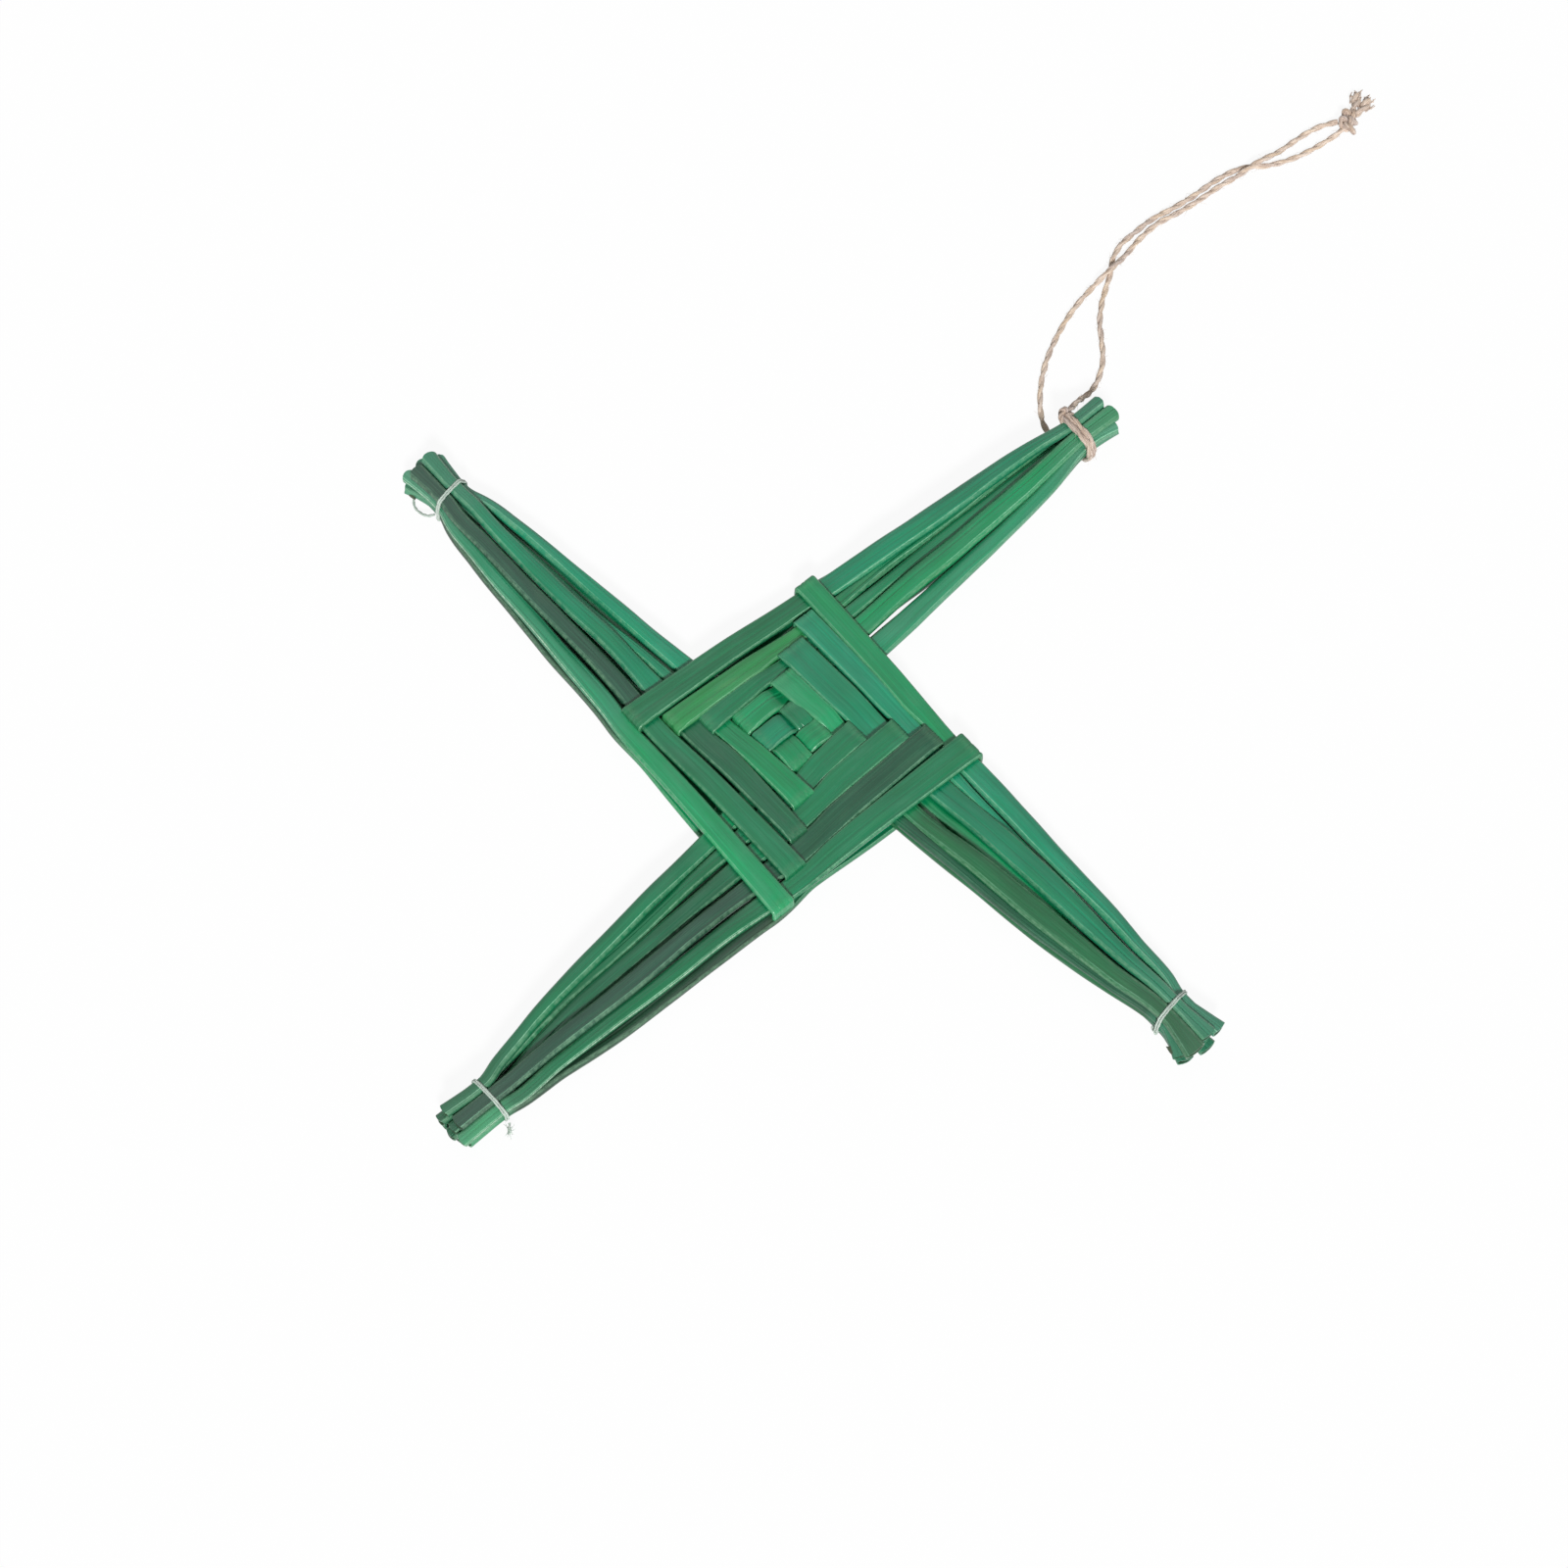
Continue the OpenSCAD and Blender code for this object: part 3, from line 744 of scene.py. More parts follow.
def notch(arm, j, x):
    """How much a straw is squeezed beside a neighbour's fold."""
    start, end = notch_span(arm, j)
    if j == 1:
        depth = MIDDLE_NOTCH
    else:
        at = middle(EAST, j) if arm == NORTH else middle(after(arm), j - 1)
        overlap = outer_edge(arm, j - 1, at) + FOLD_T + 2 * FOLD_GAP - inner_edge(arm, j, at)
        depth = max(0.0, overlap)
    return NOTCH_SHARE * depth * bump(start, end, NOTCH_RUN, x)


def along(arm, x):
    """0 in the weave and 1 at the neck."""
    return np.clip((x - ARM_FROM) / (REACH[arm] - TIE_STRAIGHT - ARM_FROM), 0, 1)


def past_tie(arm, x):
    """0 at the tie and 1 at the tips."""
    return np.clip((x - REACH[arm] - TIE_STRAIGHT) / (TAIL[arm] - TIE_STRAIGHT), 0, 1)


def spread(arm, x):
    return TAIL_SPREAD[arm] * past_tie(arm, x)


def shoulder(arm, neck_y, x):
    """How much wider a bundle is before its tie."""
    peak = REACH[arm] - SHOULDER_PEAK
    rise = SHOULDER[arm][int(neck_y > 0)] * ease(peak - SHOULDER_RUN, peak, x)
    return rise * (1 - ease(peak, REACH[arm] - SHOULDER_END, x))


def curve(places, values, x):
    places, values = np.asarray(places, float), np.asarray(values, float)
    slopes = np.gradient(values, places)
    x = np.clip(x, places[0], places[-1])
    i = np.clip(np.searchsorted(places, x, side="right") - 1, 0, len(places) - 2)
    run = places[i + 1] - places[i]
    t = (x - places[i]) / run
    rise = values[i + 1] - values[i]
    return (values[i] + t * run * slopes[i]
            + t ** 2 * (3 * rise - run * (2 * slopes[i] + slopes[i + 1]))
            + t ** 3 * (run * (slopes[i] + slopes[i + 1]) - 2 * rise))


def from_weave(arm, j, start, slope, places, values, at_neck, x):
    """A straight line in the weave, then the given values, then the neck's."""
    leave = down_by(arm, j)
    first = [leave - 2 * LEAVE_RUN, leave - LEAVE_RUN, leave]
    straight = [start + slope * at for at in first]
    line_to = curve([*first, *places, REACH[arm] - NECK_STRAIGHT, REACH[arm] + TIE_STRAIGHT],
                    [*straight, *values, at_neck, at_neck], x)
    return np.where(x < leave - LEAVE_RUN, start + slope * x, line_to)


def plain_y(arm, j, x):
    """A straw's middle line, not yet squeezed."""
    moved, slope, _, _ = LEAN[arm][j - 1]
    neck_y = NECKS[arm][j - 1][0]
    y = from_weave(arm, j, middle(arm, j) + moved, slope,
                   OUT_AT, ARM_RUN[arm][j - 1][:3], SIDE[arm] + neck_y, x)
    return y + neck_y * (spread(arm, x) + shoulder(arm, neck_y, x))


def plain_width(arm, j, x):
    """A straw's width, not yet squeezed."""
    _, _, wider, slope = LEAN[arm][j - 1]
    wide = from_weave(arm, j, width(arm, j) + wider, slope,
                      WIDE_AT, ARM_RUN[arm][j - 1][3:], NECKS[arm][j - 1][2], x)
    return wide * (1 + spread(arm, x))


def outer_edge(arm, j, x):
    return plain_y(arm, j, x) + plain_width(arm, j, x) / 2


def inner_edge(arm, j, x):
    return plain_y(arm, j, x) - plain_width(arm, j, x) / 2


def straw_z(arm, j, x):
    """Height above the middle: down through the weave, and apart again at the neck."""
    wall = fold_wall(arm, j)
    outer = mix(Z_FOLD, Z_OUTER, ease(wall, wall + FOLD_SLOPE, x))
    start, end = (-MIDDLE_STEP, MIDDLE_STEP) if j == 1 else (0, down_by(arm, j))
    in_weave = mix(outer, Z_INNER, ease(start, end, x))
    rise_at = line(after(arm), STRAWS) - RISE_FROM
    at_neck = mix(*NECK_Z, NECKS[arm][j - 1][1])
    return mix(in_weave, at_neck, ease(rise_at, rise_at + RISE_RUN, x))


def to_part(arm, points, lift):
    """Turns an arm's points to its side of the cross."""
    return placed(points, (*WEAVE_AT[:2], lift), -math.pi / 2 * arm)


# Straws

FLAT_STEPS = 23
CORNER_STEPS = 4
FLAT_OFFSET = 0.5

# Creases: where they may lie, how deep and how wide they are
CREASES = ((-0.75, 0.75), (0.05, 0.16), (0.05, 0.1))
CREASE_SHARE = 0.7
RIDGE_AT = (0.6, 0.74)
RIDGE_REACH = (0.14, 0.2)
RIDGE_HEIGHT = 0.14

# Rings along a straw, closer in the weave and at the tip
WEAVE_END = 32
WEAVE_STEP = 0.55
ARM_RINGS = 70
TIP_RUN = 3
TIP_RINGS = 9
TIP_POWER = 2.2
SLOPE_STEP = 0.05
CORNER_MOST = 0.46
STRAW_SHARP = 60

# How much further on in its waves the back half is
SIDE_SHIFT = 50
ROLL_SHIFT = 40
SIZE_SHIFT = 30

# The outward lean in the two layers of a neck, where it starts, and where the back
# halves' own shapes end
NECK_LEAN = (7.0, 5.0)
ROLL_FROM = 45
INWARD_END = 62
SHIFT_FADE = (64, 93)
UNDER_FADE = (58, 84)

# Rings of a fold, and how far its wall bows out
QUARTER_RINGS = 8
WALL_PLACES = 7
WALL_BOW = 0.12
FOLD_SWELL = 0.015

# A hollow end's wall, and its rings: how deep, how much smaller and how dark the painted shade in the bore
# is
TUBE_WALL = 0.3
HOLLOW_RINGS = ((0.0, 0.0, 0.35), (0.25, 0.06, 0.8), (1.4, 0.1, 1.0), (2.6, 0.3, 1.0))

# What a ring tells the material
MARKS = ("arm", "fold", "inside", "back", "tail")


def section_plan():
    """Each point's corner, and where it is on that corner."""
    turn = np.linspace(0, math.pi / 2, CORNER_STEPS + 1)
    top = [(h, 1, 0, 1) for h in np.linspace(1, -1, FLAT_STEPS)]
    left = [(-1, 1, -math.sin(a), math.cos(a)) for a in turn[1:]]
    low_left = [(-1, -1, -math.cos(a), -math.sin(a)) for a in turn[:-1]]
    half = np.array(top + left + low_left)
    return np.vstack([half, -half])


SECTION = section_plan()
ON_FLAT = np.abs(SECTION[:, 3]) > 0.99
UPWARD = np.sign(SECTION[:, 1])


def flat_section(wide, thick, corner):
    """Points across and up, without a crown."""
    return (SECTION[:, 0] * (wide / 2 - corner) + SECTION[:, 2] * corner,
            SECTION[:, 1] * (thick / 2 - corner) + SECTION[:, 3] * corner)


def marks(count, **values):
    table = np.zeros((count, len(MARKS)))
    for name, value in values.items():
        table[:, MARKS.index(name)] = value
    return table


def fibre_coordinates(far, across, wide, side):
    fibre = np.zeros(across.shape + (3,))
    fibre[..., 0] = (far * side)[:, None]
    fibre[..., 1] = across * (wide / 2)[:, None] + SECTION[:, 3] * FLAT_OFFSET
    fibre[..., 2] = side * 5 + UPWARD
    return fibre


def hollow(ring, wide, thick):
    """Rings from the cut rim a little way back into the tube."""
    centre = ring.mean(axis=0)
    bore = np.array([1 - 2 * TUBE_WALL / wide, 1 - 2 * TUBE_WALL / thick])
    return np.array([centre + (ring - centre) * (1, *bore * (1 - smaller)) - (depth, 0, 0)
                     for depth, smaller, _ in HOLLOW_RINGS])


class Straw:
    """A folded straw: rings from its front tip round its fold to its back tip."""

    # Sidewise shift of the back half just outside the weave
    BACK_SHIFT = ((0.75, 1.3, 0.3, 0.3, 0.9), (-0.1, 2.0, -1.9, -0.8, 0.2),
                  (0.3, 0.3, 0.2, 0.3, 1.9), (0.9, 0.4, 0.3, 0.9, 0.6))

    # How much wider the back half is on its inner side
    BACK_INWARD = ((0, 0, 0.9, 0.9, 0.9), (0, 0.9, 0.2, 0.9, 0.9),
                   (0, 0.9, 0.9, 0.9, 0.9), (0, 0.9, 0.9, 0.9, 1.5))

    # Back halves that lie right under their front halves, this far below them
    BACK_UNDER = {(SOUTH, 3): 1.5}

    # How far the front and the back tip stand out sidewise
    SPLAY = {(EAST, 1): (-0.9, -0.3), (SOUTH, 1): (-1.5, -0.6), (NORTH, 5): (0.2, 1.8),
             (WEST, 1): (-0.4, 0.0)}
    SPLAY_POWER = 1.3

    def __init__(self, arm, j):
        self.arm, self.j = arm, j
        self.node = f"straw_{ARM_NAMES[arm]}_{j}"
        rng = np.random.default_rng(100 * arm + j)
        self.edge = line(after(arm), STRAWS) + 1
        self.wall = fold_wall(arm, j)
        self.reach = REACH[arm]
        self.neck = NECKS[arm][j - 1]
        self.width_waves = waves(rng, (47, 23, 11), (0.02, 0.012, 0.008))
        self.thick_waves = waves(rng, (39, 17), (0.05, 0.04))
        self.side_waves = waves(rng, (61, 29), (0.09, 0.05))
        self.roll_waves = waves(rng, (71, 37), (3.0, 2.0))
        self.creases = [[rng.uniform(*limits) for limits in CREASES] for _ in range(3)]
        facing = -1 if arm in (EAST, SOUTH) else 1
        # The raised edge, and the highlight painted on it, lie on the side toward the camera and the key
        # light
        self.ridge = (facing * rng.uniform(*RIDGE_AT), rng.uniform(*RIDGE_REACH))

    # Each of these rises from 0 to 1 between two distances from the place in its name

    def past_edge(self, start, end, x):
        return ease(self.edge + start, self.edge + end, x)

    def past_fold(self, start, end, x):
        return ease(self.wall + start, self.wall + end, x)

    def before_tie(self, start, end, x):
        return ease(self.reach - start, self.reach - end, x)

    def free(self, x):
        """1 in the free run between the weave and the neck."""
        return self.past_edge(0, 14, x) * (1 - self.before_tie(16, 3, x))

    def hidden(self, x):
        """1 where the back half lies under the weave, straight and wide."""
        if self.j == STRAWS:
            return 0 * x
        return self.past_fold(3, 9, x) * (1 - self.past_edge(-12, 0, x))

    def inward(self, x):
        wider = self.BACK_INWARD[self.arm][self.j - 1]
        return wider * self.past_fold(3, 9, x) * (1 - ease(self.edge, INWARD_END, x))

    def drawn_in(self, x):
        return along(self.arm, x) ** DRAW_IN_POWER

    def neck_roll(self):
        """Straws on the flanks of a neck lean outward."""
        return -self.neck[0] * mix(*NECK_LEAN, self.neck[1])

    def centre(self, x, back):
        """The straw's middle. The back half is turned over later."""
        arm, j = self.arm, self.j
        y = plain_y(arm, j, x) + notch(arm, j, x) / 2
        y = y + self.side_waves(x + SIDE_SHIFT * back) * self.free(x)
        z = straw_z(arm, j, x)
        y = y + self.SPLAY.get((arm, j), (0, 0))[int(back)] * past_tie(arm, x) ** self.SPLAY_POWER
        if back:
            y = mix(y, middle(arm, j), self.hidden(x)) - self.inward(x) / 2
            fade = 1 - ease(*SHIFT_FADE, x)
            y = y + self.BACK_SHIFT[arm][j - 1] * self.past_edge(-12, 0, x) * fade
            if (arm, j) in self.BACK_UNDER:
                under = self.past_edge(-2, 8, x) * (1 - ease(*UNDER_FADE, x))
                z = mix(z, self.BACK_UNDER[arm, j] - z, under)
        return y, z

    def stations(self, tip):
        near = np.arange(self.wall + FOLD_R, WEAVE_END, WEAVE_STEP)
        far = np.linspace(WEAVE_END, tip - TIP_RUN, ARM_RINGS)[1:]
        return np.concatenate([near, far, np.linspace(tip - TIP_RUN, tip, TIP_RINGS)[1:]])

    def directions(self, x, back):
        """Directions across the straw and out of its face."""
        ahead = np.array(self.centre(x + SLOPE_STEP, back))
        rise = (ahead - self.centre(x - SLOPE_STEP, back)) / (2 * SLOPE_STEP)
        one = np.ones_like(x)
        side = unit(np.stack([-rise[0], one, 0 * one], axis=1))
        face = np.cross(unit(np.stack([one, *rise], axis=1)), side)
        roll = self.roll_waves(x + ROLL_SHIFT * back) * self.free(x)
        roll = roll + self.neck_roll() * ease(ROLL_FROM, self.reach - 6, x)
        roll = np.radians(roll)[:, None]
        return side * np.cos(roll) + face * np.sin(roll), face * np.cos(roll) - side * np.sin(roll)

    def sizes(self, x, back):
        arm, j = self.arm, self.j
        free = self.free(x)
        wide = plain_width(arm, j, x) - notch(arm, j, x)
        at = x + SIZE_SHIFT * back
        wide = wide * (1 + self.width_waves(at) * free)
        if back:
            wide = mix(wide, width(arm, j) + BACK_WIDER, self.hidden(x)) + self.inward(x)
        thick = mix(STRAW_T, NECK_T, self.drawn_in(x)) * (1 + self.thick_waves(at) * free)
        from_fold = ease(self.wall + FOLD_R, self.wall + FOLD_SLOPE + 1.5, x)
        return wide, mix(fold_thickness(j), thick, from_fold)

    def section(self, centre, side, face, wide, thick, drawn_in, crown):
        """Rings of a flattened tube, with crown, raised edge and creases."""
        corner = np.minimum(mix(CORNER_R, NECK_CORNER_R, drawn_in), thick * CORNER_MOST)[:, None]
        wide, thick, crown = wide[:, None], thick[:, None], np.reshape(crown, (-1, 1))
        y, z = flat_section(wide, thick, corner)
        across = y / (wide / 2)
        on_top = UPWARD > 0
        z = z + on_top * crown * (1 - across ** 2)
        place, reach = self.ridge
        ridge = np.clip((crown - WEAVE_CROWN) / (ARM_CROWN - WEAVE_CROWN), 0, 1) * RIDGE_HEIGHT
        z = z + on_top * ridge * np.exp(-((across - place) / reach) ** 2)
        for place, depth, reach in self.creases:
            dip = np.exp(-((across - place) / reach) ** 2)
            z = z - UPWARD * ON_FLAT * depth * CREASE_SHARE * dip
        return centre[:, None] + side[:, None] * y[..., None] + face[:, None] * z[..., None], across

    def half(self, back):
        """Rings from the fold to the tip and into its bore, with their grain and marks."""
        arm = self.arm
        tip = self.reach + TAIL[arm] - (CUT_BACK if back else CUT_FRONT)[self.j - 1]
        x = self.stations(tip)
        wide, thick = self.sizes(x, back)
        drawn_in = self.drawn_in(x)
        crown = mix(WEAVE_CROWN, ARM_CROWN, self.past_edge(-3, 9, x))
        crown = mix(crown, NECK_CROWN, self.before_tie(24, 3, x))
        centre = np.stack([x, *self.centre(x, back)], axis=1)
        rings, across = self.section(centre, *self.directions(x, back), wide, thick, drawn_in, crown)
        rings[..., 0] -= ease(tip - TIP_RUN, tip, x)[:, None] * np.abs(across) ** TIP_POWER * TIP_ROUND[arm]
        side = -1 if back else 1
        lift = (NECK_HEIGHTS[arm] - WEAVE_AT[2]) * ease(0, 1, drawn_in)
        rings[..., 2] = rings[..., 2] * side + lift[:, None]
        bore = hollow(rings[-1], wide[-1], thick[-1])
        fibre = fibre_coordinates(x - self.wall, across, wide, side)
        own = marks(len(x), arm=self.past_edge(-6, 3, x), fold=1 - self.past_fold(0.6, 2.2, x),
                    back=self.past_edge(-12, 0, x) * back, tail=self.before_tie(18, -3, x))
        # The bore's rings are painted darker further in, as shade
        dark = marks(len(bore), arm=1, tail=1, inside=[ring[2] for ring in HOLLOW_RINGS])
        return (np.concatenate([rings, bore]), np.vstack([fibre, np.repeat(fibre[-1:], len(bore), 0)]),
                np.vstack([own, dark]), across[-1])

    def fold_profile(self, top):
        """A corner, an upright wall and a corner back: place, height, and the way out."""
        rows = []
        for a in np.radians(np.linspace(0, 90, QUARTER_RINGS)):
            c, s = math.cos(a), math.sin(a)
            rows.append((self.wall + FOLD_R - FOLD_R * s, top - FOLD_R + FOLD_R * c, -s, c))
        back = [(place, -height, out, -up) for place, height, out, up in rows[::-1]]
        for share in np.linspace(0, 1, WALL_PLACES)[1:-1]:
            bow = WALL_BOW * math.sin(math.pi * share)
            rows.append((self.wall - bow, mix(top - FOLD_R, FOLD_R - top, share), -1.0, 0.0))
        return np.array((rows + back)[1:-1]).T

    def fold(self):
        """Rings round the fold, what they tell the grain, and their marks."""
        start = self.wall + FOLD_R
        y, top = self.centre(start, False)
        wide = plain_width(self.arm, self.j, start) - notch(self.arm, self.j, start)
        place, height, out, up = self.fold_profile(top)
        count = len(place)
        none = np.zeros(count)
        centre = np.stack([place, none + y, height], axis=1)
        face = np.stack([out, none, up], axis=1)
        swell = 1 + FOLD_SWELL * np.sin(np.linspace(0, math.pi, count))
        rings, across = self.section(centre, np.tile([0.0, 1.0, 0.0], (count, 1)), face, wide * swell,
                                     none + fold_thickness(self.j), none, none)
        far = np.linspace(1, -1, count) * (top - FLAT_OFFSET)
        return rings, fibre_coordinates(far, across, none + wide, 1), marks(count, fold=1)

    def build(self, material):
        *front, across = self.half(False)
        *back, _ = self.half(True)
        rings, fibre, told = [np.vstack([first[::-1], fold, last])
                              for first, fold, last in zip(front, self.fold(), back)]
        sides = rings.shape[1]
        told = np.repeat(told, sides, axis=0)
        # The corners of the section, which are painted paler for wear and as highlight
        edge = np.abs(SECTION[:, 2]) * np.abs(SECTION[:, 3]) * 2
        attributes = {"fibre": fibre.reshape(-1, 3), "edge": np.tile(edge, len(rings)),
                      "across": np.tile(across, len(rings)), **dict(zip(MARKS, told.T))}
        faces = [face[::-1] for face in skin_faces(len(rings), sides)]
        points = to_part(self.arm, rings.reshape(-1, 3), WEAVE_AT[2])
        piece = mesh_piece(self.node + "_skin", points, faces, attributes, material, STRAW_SHARP)
        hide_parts(self.node)
        return piece

    def neck_points(self):
        """The section's points at the tie, of both halves."""
        y, z = self.centre(self.reach, False)
        roll = math.radians(self.neck_roll())
        c, s = math.cos(roll), math.sin(roll)
        across, up = flat_section(self.neck[2], NECK_T, NECK_CORNER_R)
        points = np.stack([y - SIDE[self.arm] + across * c - up * s, z + across * s + up * c], axis=1)
        return np.vstack([points, points * (1, -1)])


# Shades that the dye took, and how yellowed each is
SHADES = {
    "light": ((64, 158, 110), 0.15), "sea": ((56, 146, 113), 0.1), "bright": ((53, 144, 98), 0.15),
    "teal": ((46, 134, 100), 0.1), "mid": ((45, 122, 86), 0.1), "moss": ((41, 110, 76), 0.1),
    "leaf": ((68, 144, 92), 0.45), "deep": ((38, 98, 70), 0.1), "olive": ((35, 100, 63), 0.3),
    "pale": ((70, 146, 112), 0.1), "aqua": ((58, 154, 120), 0.1), "dark": ((26, 80, 57), 0.1),
    "grey": ((42, 78, 63), 0.05), "brown": ((44, 68, 54), 0.1)}

# For each straw, its shade in the weave, out in its arm, and on its back half
STRAW_SHADES = (
    "teal pale mid, bright bright mid, mid mid deep, leaf mid mid, moss teal deep",
    "mid dark olive, light olive olive, teal teal bright, sea aqua teal, bright sea mid",
    "bright mid mid, mid moss deep, mid deep deep, dark grey deep, mid moss brown",
    "bright sea mid, bright teal mid, deep teal mid, mid grey grey, light pale brown")

# Front halves with another shade beyond the tie
TAIL_SHADES = {(WEST, 5): "light", (SOUTH, 1): "teal"}

# How pale the painted highlight line along each straw's raised edge is
CREST_HIGHLIGHT_STRENGTH = ((0.7, 0.9, 0.4, 1.0, 0.8), (0.15, 0.35, 0.3, 0.5, 0.8),
                  (1.0, 0.7, 0.5, 0.5, 1.0), (0.6, 0.5, 0.4, 0.25, 0.6))

# Straws with a painted highlight line along their outer edge, and how strong it is
OUTER_EDGE_HIGHLIGHT_STRENGTH = {(NORTH, 5): 0.95, (WEST, 5): 0.85, (EAST, 5): 0.4}

# Straws whose edges are less worn and get less painted edge highlight
EDGE_WEAR_AND_HIGHLIGHT = {(SOUTH, 1): 0.15}


def neck_outline(arm):
    """The hull of an arm's straws at the neck, which its tie follows."""
    points = np.vstack([Straw(arm, j).neck_points() for j in range(1, STRAWS + 1)])
    turns = np.linspace(0, math.tau, 181)[:-1]
    away = np.stack([np.cos(turns), np.sin(turns)], axis=1)
    return points[np.argmax(points @ away.T, axis=0)], away


TIE_D = (TWINE_D, THREAD_D, THREAD_D, THREAD_D)

# How high the middle of each neck stands, so that its tie lies on the floor
NECK_HEIGHTS = [TIE_D[arm] - neck_outline(arm)[0][:, 1].min() for arm in range(4)]


def add_straw(arm, j):
    straw = Straw(arm, j)
    names = STRAW_SHADES[arm].split(", ")[j - 1].split()
    names.append(TAIL_SHADES.get((arm, j), names[1]))
    # Place and strength of the painted highlight lines, and how much the edges are worn and painted lighter
    wear_and_highlights = (straw.ridge[0], CREST_HIGHLIGHT_STRENGTH[arm][j - 1],
            OUTER_EDGE_HIGHLIGHT_STRENGTH.get((arm, j), 0), EDGE_WEAR_AND_HIGHLIGHT.get((arm, j), 1))
    shades = [SHADES[name][0] for name in names]
    warmth = SHADES[names[0]][1]
    straw.build(straw_material(straw.node, shades, warmth, arm * STRAWS + j, wear_and_highlights))


# Ties

TIE_LEAN = (0.06, -0.14, -0.05, -0.2)
TIE_TURNS = 2
KNOT_ANGLES = (37.5, 202.5, 217.5, 322.5)
TIE_SEED = 40
BINDING_SEED = 77

# Route, size and spread of the plies, and count, reach and thickness of the hairs
LOOSE_ENDS = {NORTH: (NORTH_END_ROUTE, 1.3, 0.8, 8, 1.0, 0.03),
              WEST: (WEST_END_ROUTE, 1.0, 1.0, 40, 1.6, 0.1)}


def tie_path(arm, run, rng):
    """A winding that lies on a neck, and the place of its knot."""
    hull, away = neck_outline(arm)
    diameter = TIE_D[arm]
    loop = hull + away * diameter / 2
    for _ in range(3):
        loop = (np.roll(loop, 1, axis=0) + loop * 2 + np.roll(loop, -1, axis=0)) / 4
    angles = np.unwrap(np.arctan2(loop[:, 1], loop[:, 0]))
    loop = loop[np.argsort(np.mod(angles - math.radians(KNOT_ANGLES[arm]), math.tau))]
    wound = np.vstack([loop] * TIE_TURNS + [loop[:1]])
    turns = np.linspace(0, TIE_TURNS, len(wound))
    wander = waves(rng, (1.7, 0.8), (0.06 * diameter, 0.04 * diameter))(turns)
    x = REACH[arm] + TIE_LEAN[arm] * wound[:, 0] + run * (turns - TIE_TURNS / 2) + wander
    path = np.stack([x, SIDE[arm] + wound[:, 0], wound[:, 1]], axis=1)
    knot = path[:1] + (run, 0, 0)
    return to_part(arm, path, NECK_HEIGHTS[arm]), to_part(arm, knot, NECK_HEIGHTS[arm])[0]


def add_loose_end(tubes, arm, rng):
    route, size, apart, hairs, reach, thickness = LOOSE_ENDS[arm]
    loose = route_mm(route, THREAD_STEP)
    add_plies(tubes, loose, THREAD_D * size, CLOSE_LAY, rng, THREAD_SIDES, apart=apart)
    add_hairs(tubes, loose[-6:], THREAD_D, hairs, rng, reach=reach, thickness=thickness)


def add_thread_tie(arm, material):
    rng = np.random.default_rng(TIE_SEED + arm)
    tubes = Tubes()
    path, knot = tie_path(arm, THREAD_D * 0.95, rng)
    wound = resample(path, THREAD_STEP)
    add_plies(tubes, wound, THREAD_D * 1.2, THREAD_LAY, rng, THREAD_SIDES, apart=0.35)
    lump = placed(trefoil(0.75, 0.5, 0.3), knot, -math.pi / 2 * arm)
    add_plies(tubes, resample(lump, LUMP_STEP), THREAD_D * 0.9, CLOSE_LAY, rng, THREAD_SIDES)
    if arm in LOOSE_ENDS:
        add_loose_end(tubes, arm, rng)
    node = "thread_tie_" + ARM_NAMES[arm]
    tie = tubes.piece(node + "_thread", material)
    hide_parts(node)


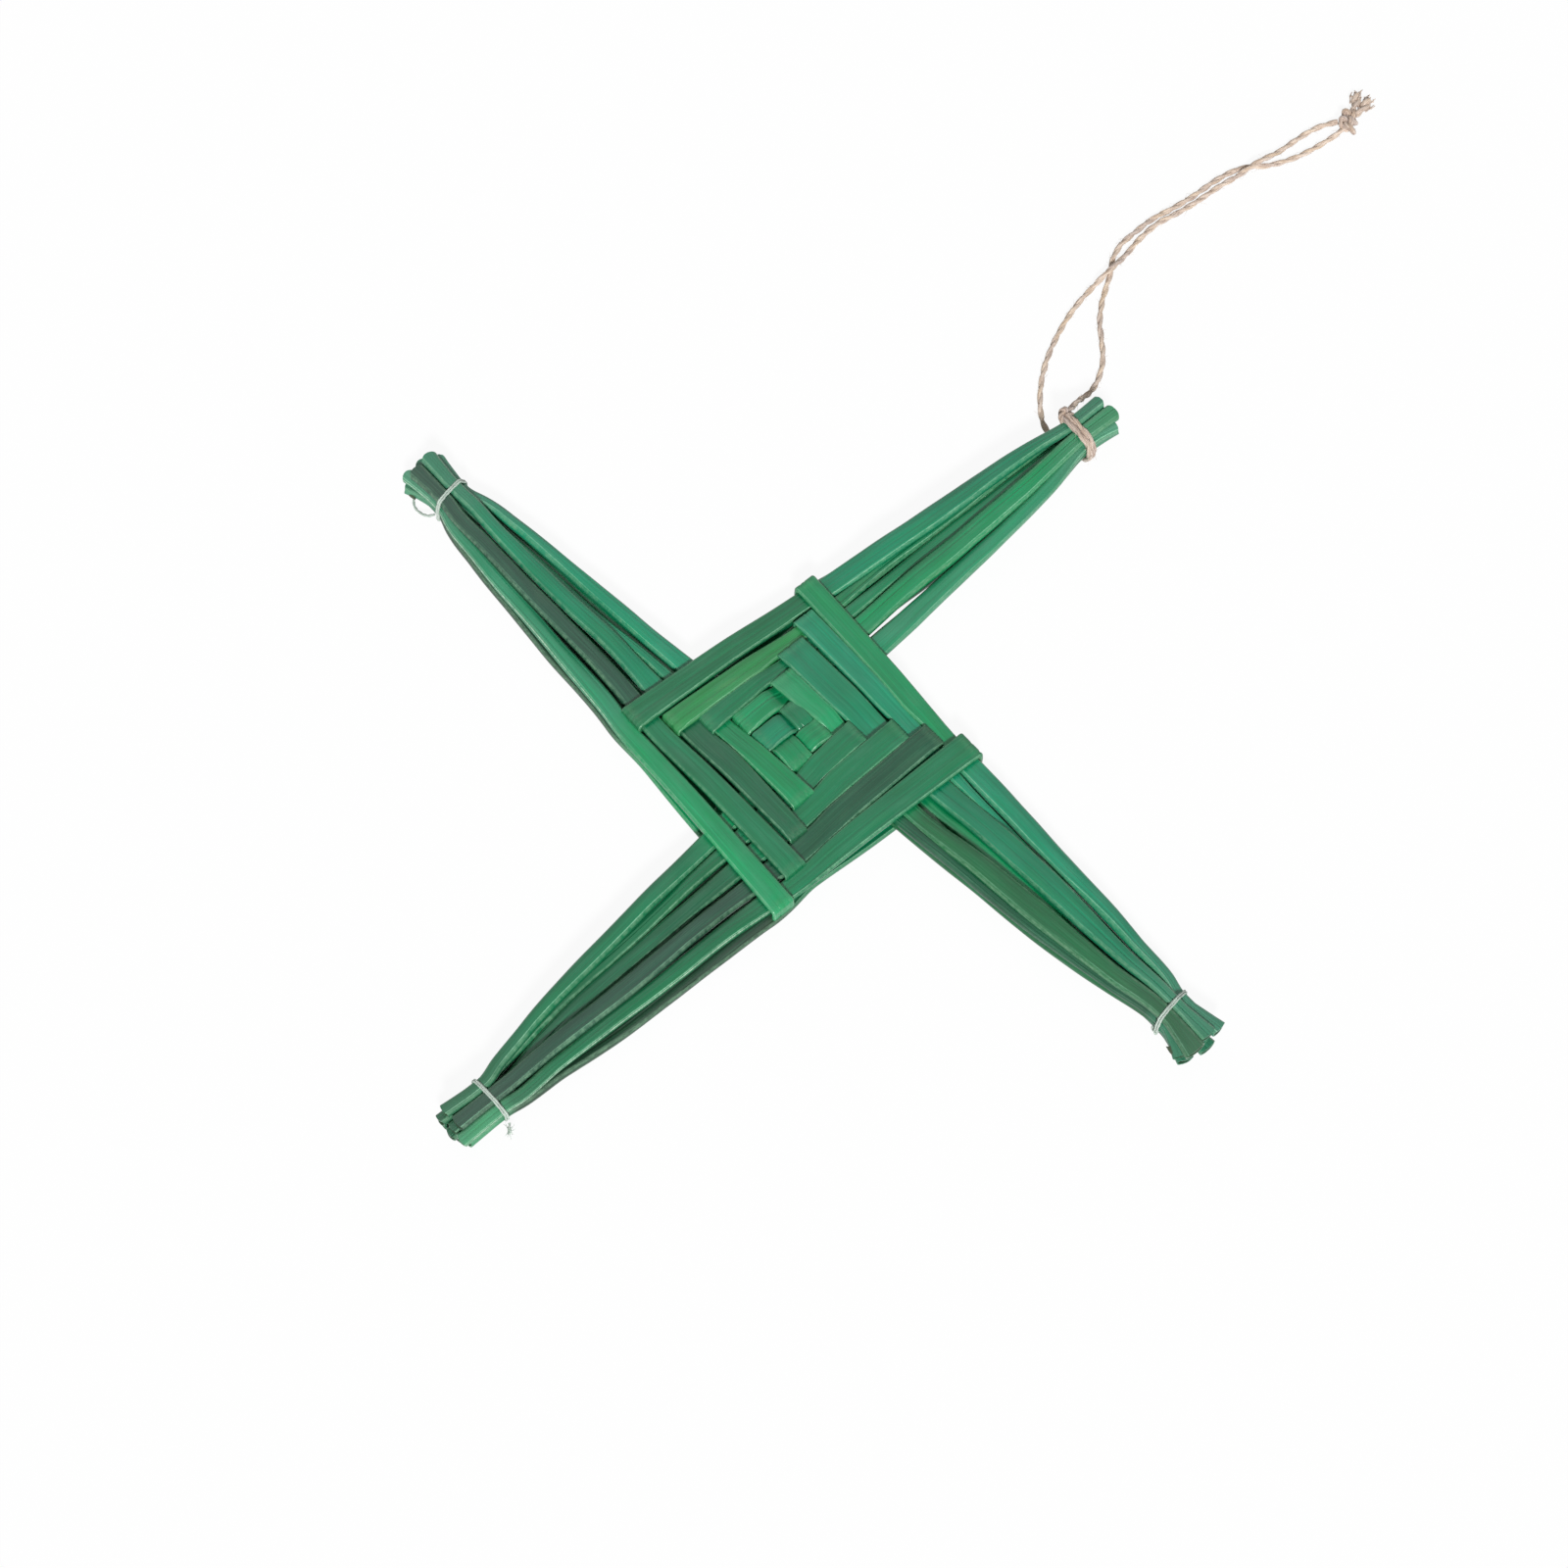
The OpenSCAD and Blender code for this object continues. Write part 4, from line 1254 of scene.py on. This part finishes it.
def add_binding(material):
    rng = np.random.default_rng(BINDING_SEED)
    tubes = Tubes()
    path, knot = tie_path(EAST, TWINE_D * 0.85, rng)
    start = np.array(LOWER_ROUTE[0]) / MM
    link = smooth_path([knot, mix(knot, start, 0.5) + [0, 0, 0.5], start], STEP)
    for part, size in ((resample(path, STEP), 1.06), (link, 1.0)):
        add_plies(tubes, part, TWINE_D * size, TWINE_LAY, rng)
        add_hairs(tubes, part, TWINE_D, 3 * len(part) // 4, rng)
    add_knot(tubes, BINDING_LOOPS, (1.35, 1.0, 0.6), knot, 0.4, TWINE_D * 0.9, 3.8, TWINE_D, 16, rng)
    binding = tubes.piece("twine_binding_east_twine", material)
    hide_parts("twine_binding_east")


# Floor and light

FLOOR_GLOW = 0.93
FLOOR_HALF = 3.0
AMBIENT = 0.165


def add_floor():
    look = Nodes(bpy.data.materials.new("floor"), "OutputMaterial")
    lit = look.add("BsdfPrincipled", {"Base Color": WHITE, "Roughness": 1.0, "Specular IOR Level": 0.0})
    glow = look.add("Emission", {"Color": WHITE, "Strength": 1.0})
    share = look.product(look.seen_directly(), FLOOR_GLOW)
    mesh = bpy.data.meshes.new("floor")
    corners = [(x * FLOOR_HALF, y * FLOOR_HALF, 0) for x, y in ((-1, -1), (1, -1), (1, 1), (-1, 1))]
    mesh.from_pydata(corners, [], [(0, 1, 2, 3)])
    mesh.materials.append(look.finish("MixShader", {0: share, 1: lit, 2: glow}))
    floor = add_object("floor", mesh)


def add_sun(name, azimuth, elevation, strength, softness):
    data = bpy.data.lights.new(name, "SUN")
    data.energy = strength
    data.angle = math.radians(softness)
    a, e = math.radians(azimuth), math.radians(elevation)
    towards = Vector((math.cos(a) * math.cos(e), math.sin(a) * math.cos(e), math.sin(e)))
    add_object(name, data).rotation_euler = towards.to_track_quat("Z", "Y").to_euler()


def add_world():
    """Dim light, and a white background."""
    look = Nodes(bpy.data.worlds.new("studio"), "OutputWorld")
    lit = look.add("Background", {"Color": WHITE, "Strength": AMBIENT})
    seen = look.add("Background", {"Color": WHITE, "Strength": 1.0})
    bpy.context.scene.world = look.finish("MixShader", {0: look.seen_directly(), 1: lit, 2: seen})


add_camera()
tied_jute = binding_material()
thread = thread_material()
add_hanging_loop(jute_material(), tied_jute)
for straw_arm in (EAST, SOUTH, WEST, NORTH):
    for number in range(1, STRAWS + 1):
        add_straw(straw_arm, number)
for tied_arm in (SOUTH, WEST, NORTH):
    add_thread_tie(tied_arm, thread)
add_binding(tied_jute)
add_floor()
add_world()
add_sun("key", -126, 42, 3.1, 10)
add_sun("fill", 60, 60, 0.3, 60)
bpy.context.scene.view_settings.view_transform = "Standard"
